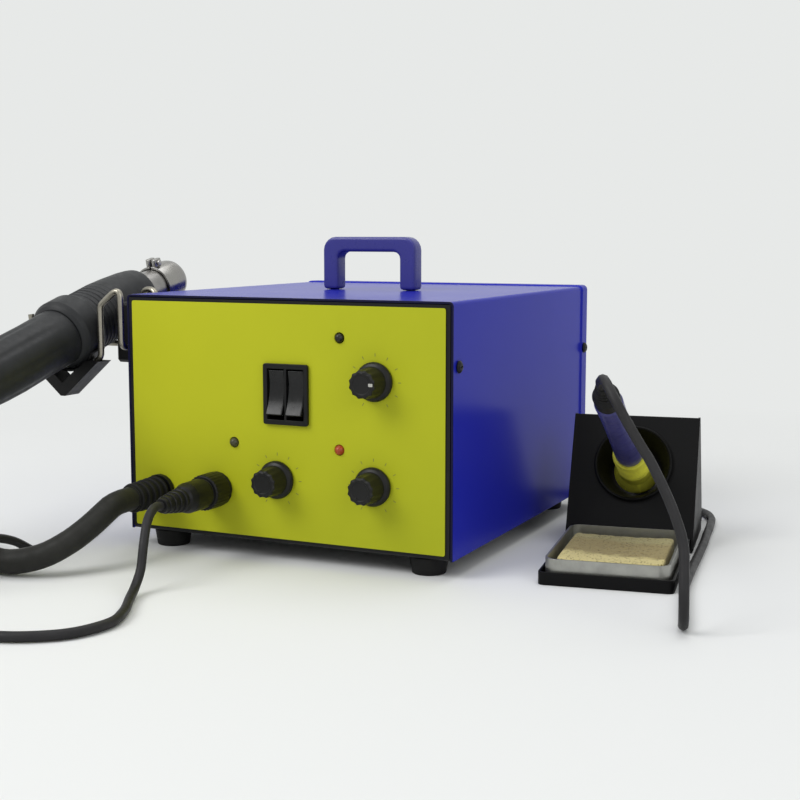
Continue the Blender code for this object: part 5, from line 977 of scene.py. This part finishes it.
def make_holder():
    refined("holder_block", "plastic_black", edge=0.0004)
    refined("holder_saddle", "plastic_black")
    gun_x, y, centre = GUN_CENTRE
    wire, block_width, clearance = 0.0017, 0.015, 0.0023
    left = -CASE_WIDTH / 2
    block_top = CASE_BOTTOM + 0.121
    down_x = left - block_width - clearance - wire
    reach = down_x - gun_x
    apex = CASE_BOTTOM + 0.073
    around = (GUN_RING + GAP + 0.0014) / math.cos(GUN_SLOPE) + GAP + wire
    knee = apex + reach / math.tan(math.asin(around / (centre - apex)))
    root_x = left - 0.0055
    corners = [
        (root_x, 0.0216, block_top - 0.024), (root_x, y, block_top - 0.024), (root_x, y, block_top + 0.0095),
        (down_x, y, block_top - wire), (down_x, y, knee), (gun_x, y, apex), (gun_x - reach, y, knee),
        (gun_x - reach - 0.003, y, centre + 0.009),
    ]
    front = tube("front_wire", bent(in_frame(corners), 0.005), wire, "wire_steel")
    settle(front, None, None, "station", ("holder_wire_front",))
    root_x, root_y, y = left - 0.0075, 0.0375, 0.0405
    under = gun_middle(y) - (GUN_BODY + GAP) / math.cos(GUN_SLOPE) - wire - GAP
    corners = [
        (root_x, root_y, block_top - 0.0117), (root_x, root_y, block_top + 0.006),
        (down_x, y, block_top + 0.0057), (down_x, y, under + 0.006), (down_x - 0.009, y, under),
        (gun_x - 0.6 * reach, y, under), (gun_x - reach, y, under + 0.009), (gun_x - reach, y, under + 0.018),
    ]
    rear = tube("rear_wire", bent(in_frame(corners), 0.006), wire, "wire_steel")
    settle(rear, None, None, "station", ("holder_wire_rear",))


def make_gun():
    joint, tail = -0.0095, -0.0875
    grip = 0.0158
    handle = [
        (0, tail + 0.008), (0.0063, tail + 0.008), (0.0063, tail), (0.0102, tail), (0.0118, tail + 0.003),
        (0.0132, tail + 0.008), (0.0146, tail + 0.015), (0.0153, tail + 0.024), (grip, tail + 0.038),
        (0.0156, tail + 0.056), (grip, joint - 0.008), (grip, joint), (0, joint),
    ]

    def grooves(angle, radius, height):
        """Four shallow lengthwise finger grooves on the grip."""
        if radius < 0.0125 or not tail + 0.012 < height < joint - 0.01:
            return 0
        ease = min(1, (height - tail - 0.012) / 0.008, (joint - 0.01 - height) / 0.008)
        return 0.0005 * ease * max(0, math.cos(8 * angle)) ** 2

    lathe(
        "gun_grip", handle, "gun_grey", GUN_AXIS, "gun", ("gun_handle",),
        steps=128, edge=0.0008, wave=grooves,
    )
    housing = [
        (0, joint + GAP), (0.016, joint + GAP), (0.0178, joint + 0.0016), (GUN_RING, joint + 0.004),
        (GUN_RING, 0.006), (0.018, 0.0086), (GUN_BODY, 0.0102), (0.017, 0.02), (0.0174, 0.0322),
        (0.0168, 0.043), (0.0156, 0.0563), (0.0146, 0.063), (0.0138, 0.0664), (0.0132, 0.067), (0, 0.067),
    ]
    shell = lathe(
        "gun_barrel_housing", housing, "gun_grey", GUN_AXIS, "gun", ("gun_housing",), steps=96, edge=0.001
    )
    RIBS.grow(
        "gun_grip_ribs", "gun_grey", GUN_AXIS, "gun",
        Count=6, Start=0.013, Pitch=0.0036, Radius=0.0169, Bead=0.0006, Last=1.0,
    )
    bore = [(0, 0), (0.0109, 0), (0.0109, 0.03), (0, 0.03)]
    cut_away(shell, lathe("pipe_bore", bore, None, PIPE_AXIS, None, edge=0))
    pipe = [(0.0106, GAP), (0.0106, 0.0495), (0.0098, 0.0495), (0.0098, GAP)]
    lathe("heater_pipe", pipe, "pipe_steel", PIPE_AXIS, "gun", ("gun_pipe",), edge=0.0002, closed=True)
    make_nozzle()


def make_nozzle():
    """Turned sleeve with a rounded shoulder and an outlet, slit under a clamp lug with a cross screw."""
    inner, outer, start = 0.0109, 0.0122, 0.0305
    shoulder, tip, outlet = 0.052, 0.0568, 0.0056
    profile = [
        (inner, start), (outer, start), (outer, shoulder - 0.005), (outer - 0.0005, shoulder - 0.003),
        (outer - 0.0017, shoulder - 0.0012), (outer - 0.0036, shoulder - 0.0002), (outlet, shoulder + 0.0006),
        (outlet, tip), (outlet - 0.0009, tip), (outlet - 0.0009, shoulder - 0.0006),
        (inner - 0.0026, shoulder - 0.001), (inner, shoulder - 0.0022),
    ]
    sleeve = lathe(
        "nozzle_sleeve", profile, "heated_steel", PIPE_AXIS, "gun", ("gun_nozzle",), edge=0.0003, closed=True
    )
    low = (-0.0006, start - 0.002, inner - 0.001)
    high = (0.0006, start + 0.011, outer + 0.006)
    cut_away(sleeve, block("slit", low, high, PIPE))
    for side in (-1, 1):
        low, high = sorted((side * 0.0006, side * 0.0035))
        ear = block(
            f"clamp_ear_{'left' if side < 0 else 'right'}",
            (low, start + 0.001, outer - 0.0006), (high, start + 0.007, outer + 0.0042), PIPE, 0.0006,
        )
        settle(ear, "heated_steel", None, "gun")
    screw = [
        (0, 0.0048), (0.0016, 0.0048), (0.0016, 0.0036), (0.001, 0.0036), (0.001, -0.0042), (0, -0.0042),
    ]
    cross = spot((0, start + 0.004, outer + 0.0018), (0, math.pi / 2, 0), PIPE)
    lathe("nozzle_clamp_screw", screw, "barrel_steel", cross, "gun", steps=32, edge=0.0002)


# ---- Stand and iron ----


def make_stand():
    refined("stand_base", "stand_black")
    refined("stand_plate", "stand_black")
    front, back = -0.01, 0.022
    mouth, throat, sheet = 0.0193, 0.009, 0.001
    profile = [
        (mouth, front), (mouth + sheet, front - 0.0006), (mouth + sheet + 0.0008, front + 0.0004),
        (mouth + sheet - 0.0004, front + 0.0016), (throat + sheet, back), (throat, back),
    ]
    lathe("funnel", profile, "stand_black", IRON_AXIS, "station", ("stand_funnel",), closed=True, edge=0.0003)
    start = back + 0.0008 + GAP
    SPRING.grow(
        "barrel_spring", "wire_steel", spot((0, 0, start), within=IRON_AXIS), "station", ("stand_spring",),
        Turns=8.0, Radius=0.0094, Length=0.03, Wire=0.0008,
    )
    refined("sponge_tray", "tray_grey")


def make_sponge_block():
    """Cut cellulose block: rounded, slightly sunken in the middle, with ragged edges."""
    low, top, width = 0.0028, 0.0106, 0.052
    bm = bmesh.new()
    bmesh.ops.create_cube(bm, size=1.0)
    bmesh.ops.scale(bm, verts=bm.verts, vec=(width, 0.06, top - low))
    bmesh.ops.translate(bm, verts=bm.verts, vec=(0, 0.044, (low + top) / 2))
    for least, most, offset, segments in ((0.001, 1, 0.004, 4), (-1, 1e-6, 0.001, 2)):
        edges = [edge for edge in bm.edges if least < abs(edge.verts[0].co.z - edge.verts[1].co.z) < most]
        bmesh.ops.bevel(bm, geom=edges, offset=offset, segments=segments, affect="EDGES", profile=0.5)
    obj = link_edited("sponge_block", bm)
    remesh = obj.modifiers.new("even faces", "REMESH")
    remesh.mode = "VOXEL"
    remesh.voxel_size = 0.0008
    made = as_mesh(obj)
    for vert in made.data.vertices:
        point = Vector(vert.co)
        rough = noise.noise(point * 900) * 0.00022 + noise.noise(point * 260) * 0.0003
        sink = 0.0
        if point.z > top - 0.002:
            across = min(1, abs(point.x) / (width / 2))
            sink = 0.0007 * (1 - across**2)
        vert.co.z += rough - sink if point.z > low + 0.002 else 0
        vert.co.x -= abs(rough) * math.copysign(1, point.x) if abs(point.x) > 0.024 else 0
    return settle(shaded(made, 60), "sponge_cellulose", STAND, "station", ("sponge",))


def make_iron():
    grip_back, handle_back = -0.029, -0.122
    front = 0.011
    handle = [
        (0, handle_back), (0.0062, handle_back), (0.0069, handle_back + 0.0016), (0.0066, handle_back + 0.02),
        (0.0067, handle_back + 0.046), (0.0074, grip_back - 0.006), (0.0074, grip_back - 0.0003),
        (0.0055, grip_back - 0.0003), (0.0055, front - 0.0003), (0, front - 0.0003),
    ]
    lathe("iron_shell", handle, "iron_blue", IRON_AXIS, "iron", ("iron_handle",), edge=0.0006)
    grip = [
        (0.0058, grip_back), (0.0084, grip_back), (0.009, grip_back + 0.0012), (0.0086, grip_back + 0.018),
        (0.0094, 0.0018), (0.0122, 0.0078), (0.0122, 0.01), (0.0112, front), (0.0058, front),
    ]
    lathe(
        "iron_soft_grip", grip, "iron_lime", IRON_AXIS, "iron", ("iron_grip",),
        steps=96, edge=0.0007, closed=True,
    )
    RIBS.grow(
        "iron_grip_ribs", "iron_lime", IRON_AXIS, "iron",
        Count=7, Start=-0.0255, Pitch=0.003, Radius=0.0087, Bead=0.0005, Last=1.0,
    )
    nut_end = front + GAP + 0.012
    barrel_end = nut_end + 0.028
    barrel = [
        (0, front + GAP), (0.0064, front + GAP), (0.0064, nut_end - 0.001), (0.0054, nut_end),
        (0.0044, nut_end), (0.0044, barrel_end - 0.0006), (0.0038, barrel_end), (0, barrel_end),
    ]
    knurl = ridges(24, 0.0003, 0.006, front, nut_end - 0.0012)
    lathe(
        "iron_sleeve", barrel, "barrel_steel", IRON_AXIS, "iron", ("iron_barrel",),
        steps=120, edge=0.0003, wave=knurl,
    )
    start, end = barrel_end + GAP, barrel_end + GAP + 0.015
    tip = [(0, start), (0.003, start), (0.003, start + 0.0063), (0.0007, end), (0, end)]
    lathe("iron_point", tip, "tip_iron", IRON_AXIS, "iron", ("iron_tip",), steps=48, edge=0.0003)


# ---- Studio ----

PHOTO_LENS = 61.47
PHOTO_EYE = (0.3448, -0.5958, CASE_BOTTOM + 0.1591)
PHOTO_TILT = 7.04
PHOTO_TURN = 25.07
PALE = (0.8, 0.815, 0.805, 1)
EVEN_FROM, EVEN_AT = 0.36, 0.68
SWEEP_RADIUS = 0.8
SWEEP_STEPS = 12


def pale_in_view(tree, lit, kind, output, share=None):
    """Shows the pale tone where it is seen, also in a reflection or through glass, and lights as before."""
    rays = tree.node("ShaderNodeLightPath")
    seen = tree.math("MAXIMUM", rays["Is Camera Ray"], rays["Is Glossy Ray"])
    seen = tree.math("MAXIMUM", seen, rays["Is Transmission Ray"])
    if share is not None:
        seen = tree.math("MULTIPLY", seen, share)
    pale = tree.node(kind, {"Color": PALE})[0]
    mixed = tree.node("ShaderNodeMixShader", {0: seen, 1: lit.outputs[0], 2: pale})[0]
    tree.tree.links.new(mixed, tree.tree.nodes[output].inputs["Surface"])


def make_sweep():
    """A paper floor that curves up into a backdrop and looks even away from the station."""
    curve = []
    for k in range(SWEEP_STEPS + 1):
        angle = math.radians(90 * k / SWEEP_STEPS)
        curve.append((1.6 + SWEEP_RADIUS * math.sin(angle), SWEEP_RADIUS - SWEEP_RADIUS * math.cos(angle)))
    bm = bmesh.new()
    rows = [[bm.verts.new((x, y, z)) for x in (-4, 4)] for y, z in [(-3.0, 0.0), *curve, (2.4, 3.5)]]
    for near, far in zip(rows, rows[1:]):
        bm.faces.new((near[0], near[1], far[1], far[0]))
    sweep = link_edited("studio_sweep", bm)
    sweep.data.shade_smooth()
    sweep.matrix_world = Matrix.Rotation(math.radians(25), 4, "Z")
    paper = Surface("studio_paper", (0.8, 0.81, 0.8), 0.9, specular=0.1)
    distance = paper.node("ShaderNodeVectorMath", {0: paper.place}, operation="LENGTH")["Value"]
    far = paper.spread(distance, EVEN_FROM, EVEN_AT, 0, 1)
    pale_in_view(paper, paper.shader, "ShaderNodeEmission", "Material Output", far)
    sweep.data.materials.append(FINISH["studio_paper"])


def make_studio():
    scene = bpy.context.scene
    scene.view_settings.view_transform = "Standard"
    make_sweep()
    world = bpy.data.worlds.new("studio")
    scene.world = world
    world.use_nodes = True
    lit = world.node_tree.nodes["Background"]
    lit.inputs["Color"].default_value = (0.9, 0.91, 0.92, 1)
    lit.inputs["Strength"].default_value = 0.5
    pale_in_view(Tree(world.node_tree), lit, "ShaderNodeBackground", "World Output")
    for name, at, aim, size, power in (
        ("key_light", (-0.9, -1.3, 1.5), (0, 0, 0.06), 1.2, 24),
        ("fill_light", (1.5, -0.9, 0.9), (0, 0, 0.06), 1.4, 7),
        ("top_light", (0.1, 0.5, 1.9), (0, 0.1, 0.05), 1.4, 11),
    ):
        light = bpy.data.lights.new(name, "AREA")
        light.size = size
        light.energy = power
        lamp = bpy.data.objects.new(name, light)
        scene.collection.objects.link(lamp)
        lamp.location = Vector(at) + FRONT_MIDDLE
        lamp.rotation_euler = (Vector(aim) - Vector(at)).to_track_quat("-Z", "Y").to_euler()
    camera = bpy.data.cameras.new("photo_camera")
    camera.lens = PHOTO_LENS
    camera.sensor_width = 36
    camera.clip_start = 0.01
    eye = bpy.data.objects.new("photo_camera", camera)
    scene.collection.objects.link(eye)
    eye.location = FRONT_MIDDLE + Vector(PHOTO_EYE)
    eye.rotation_euler = (math.radians(90 - PHOTO_TILT), 0, math.radians(PHOTO_TURN))
    scene.camera = eye


make_studio()
make_hose()
make_cord()
make_boots()
make_casing()
make_screws()
make_switch()
make_knobs()
make_lamps()
make_fittings()
make_dial_marks()
make_inside()
make_holder()
make_gun()
make_stand()
make_sponge_block()
make_iron()
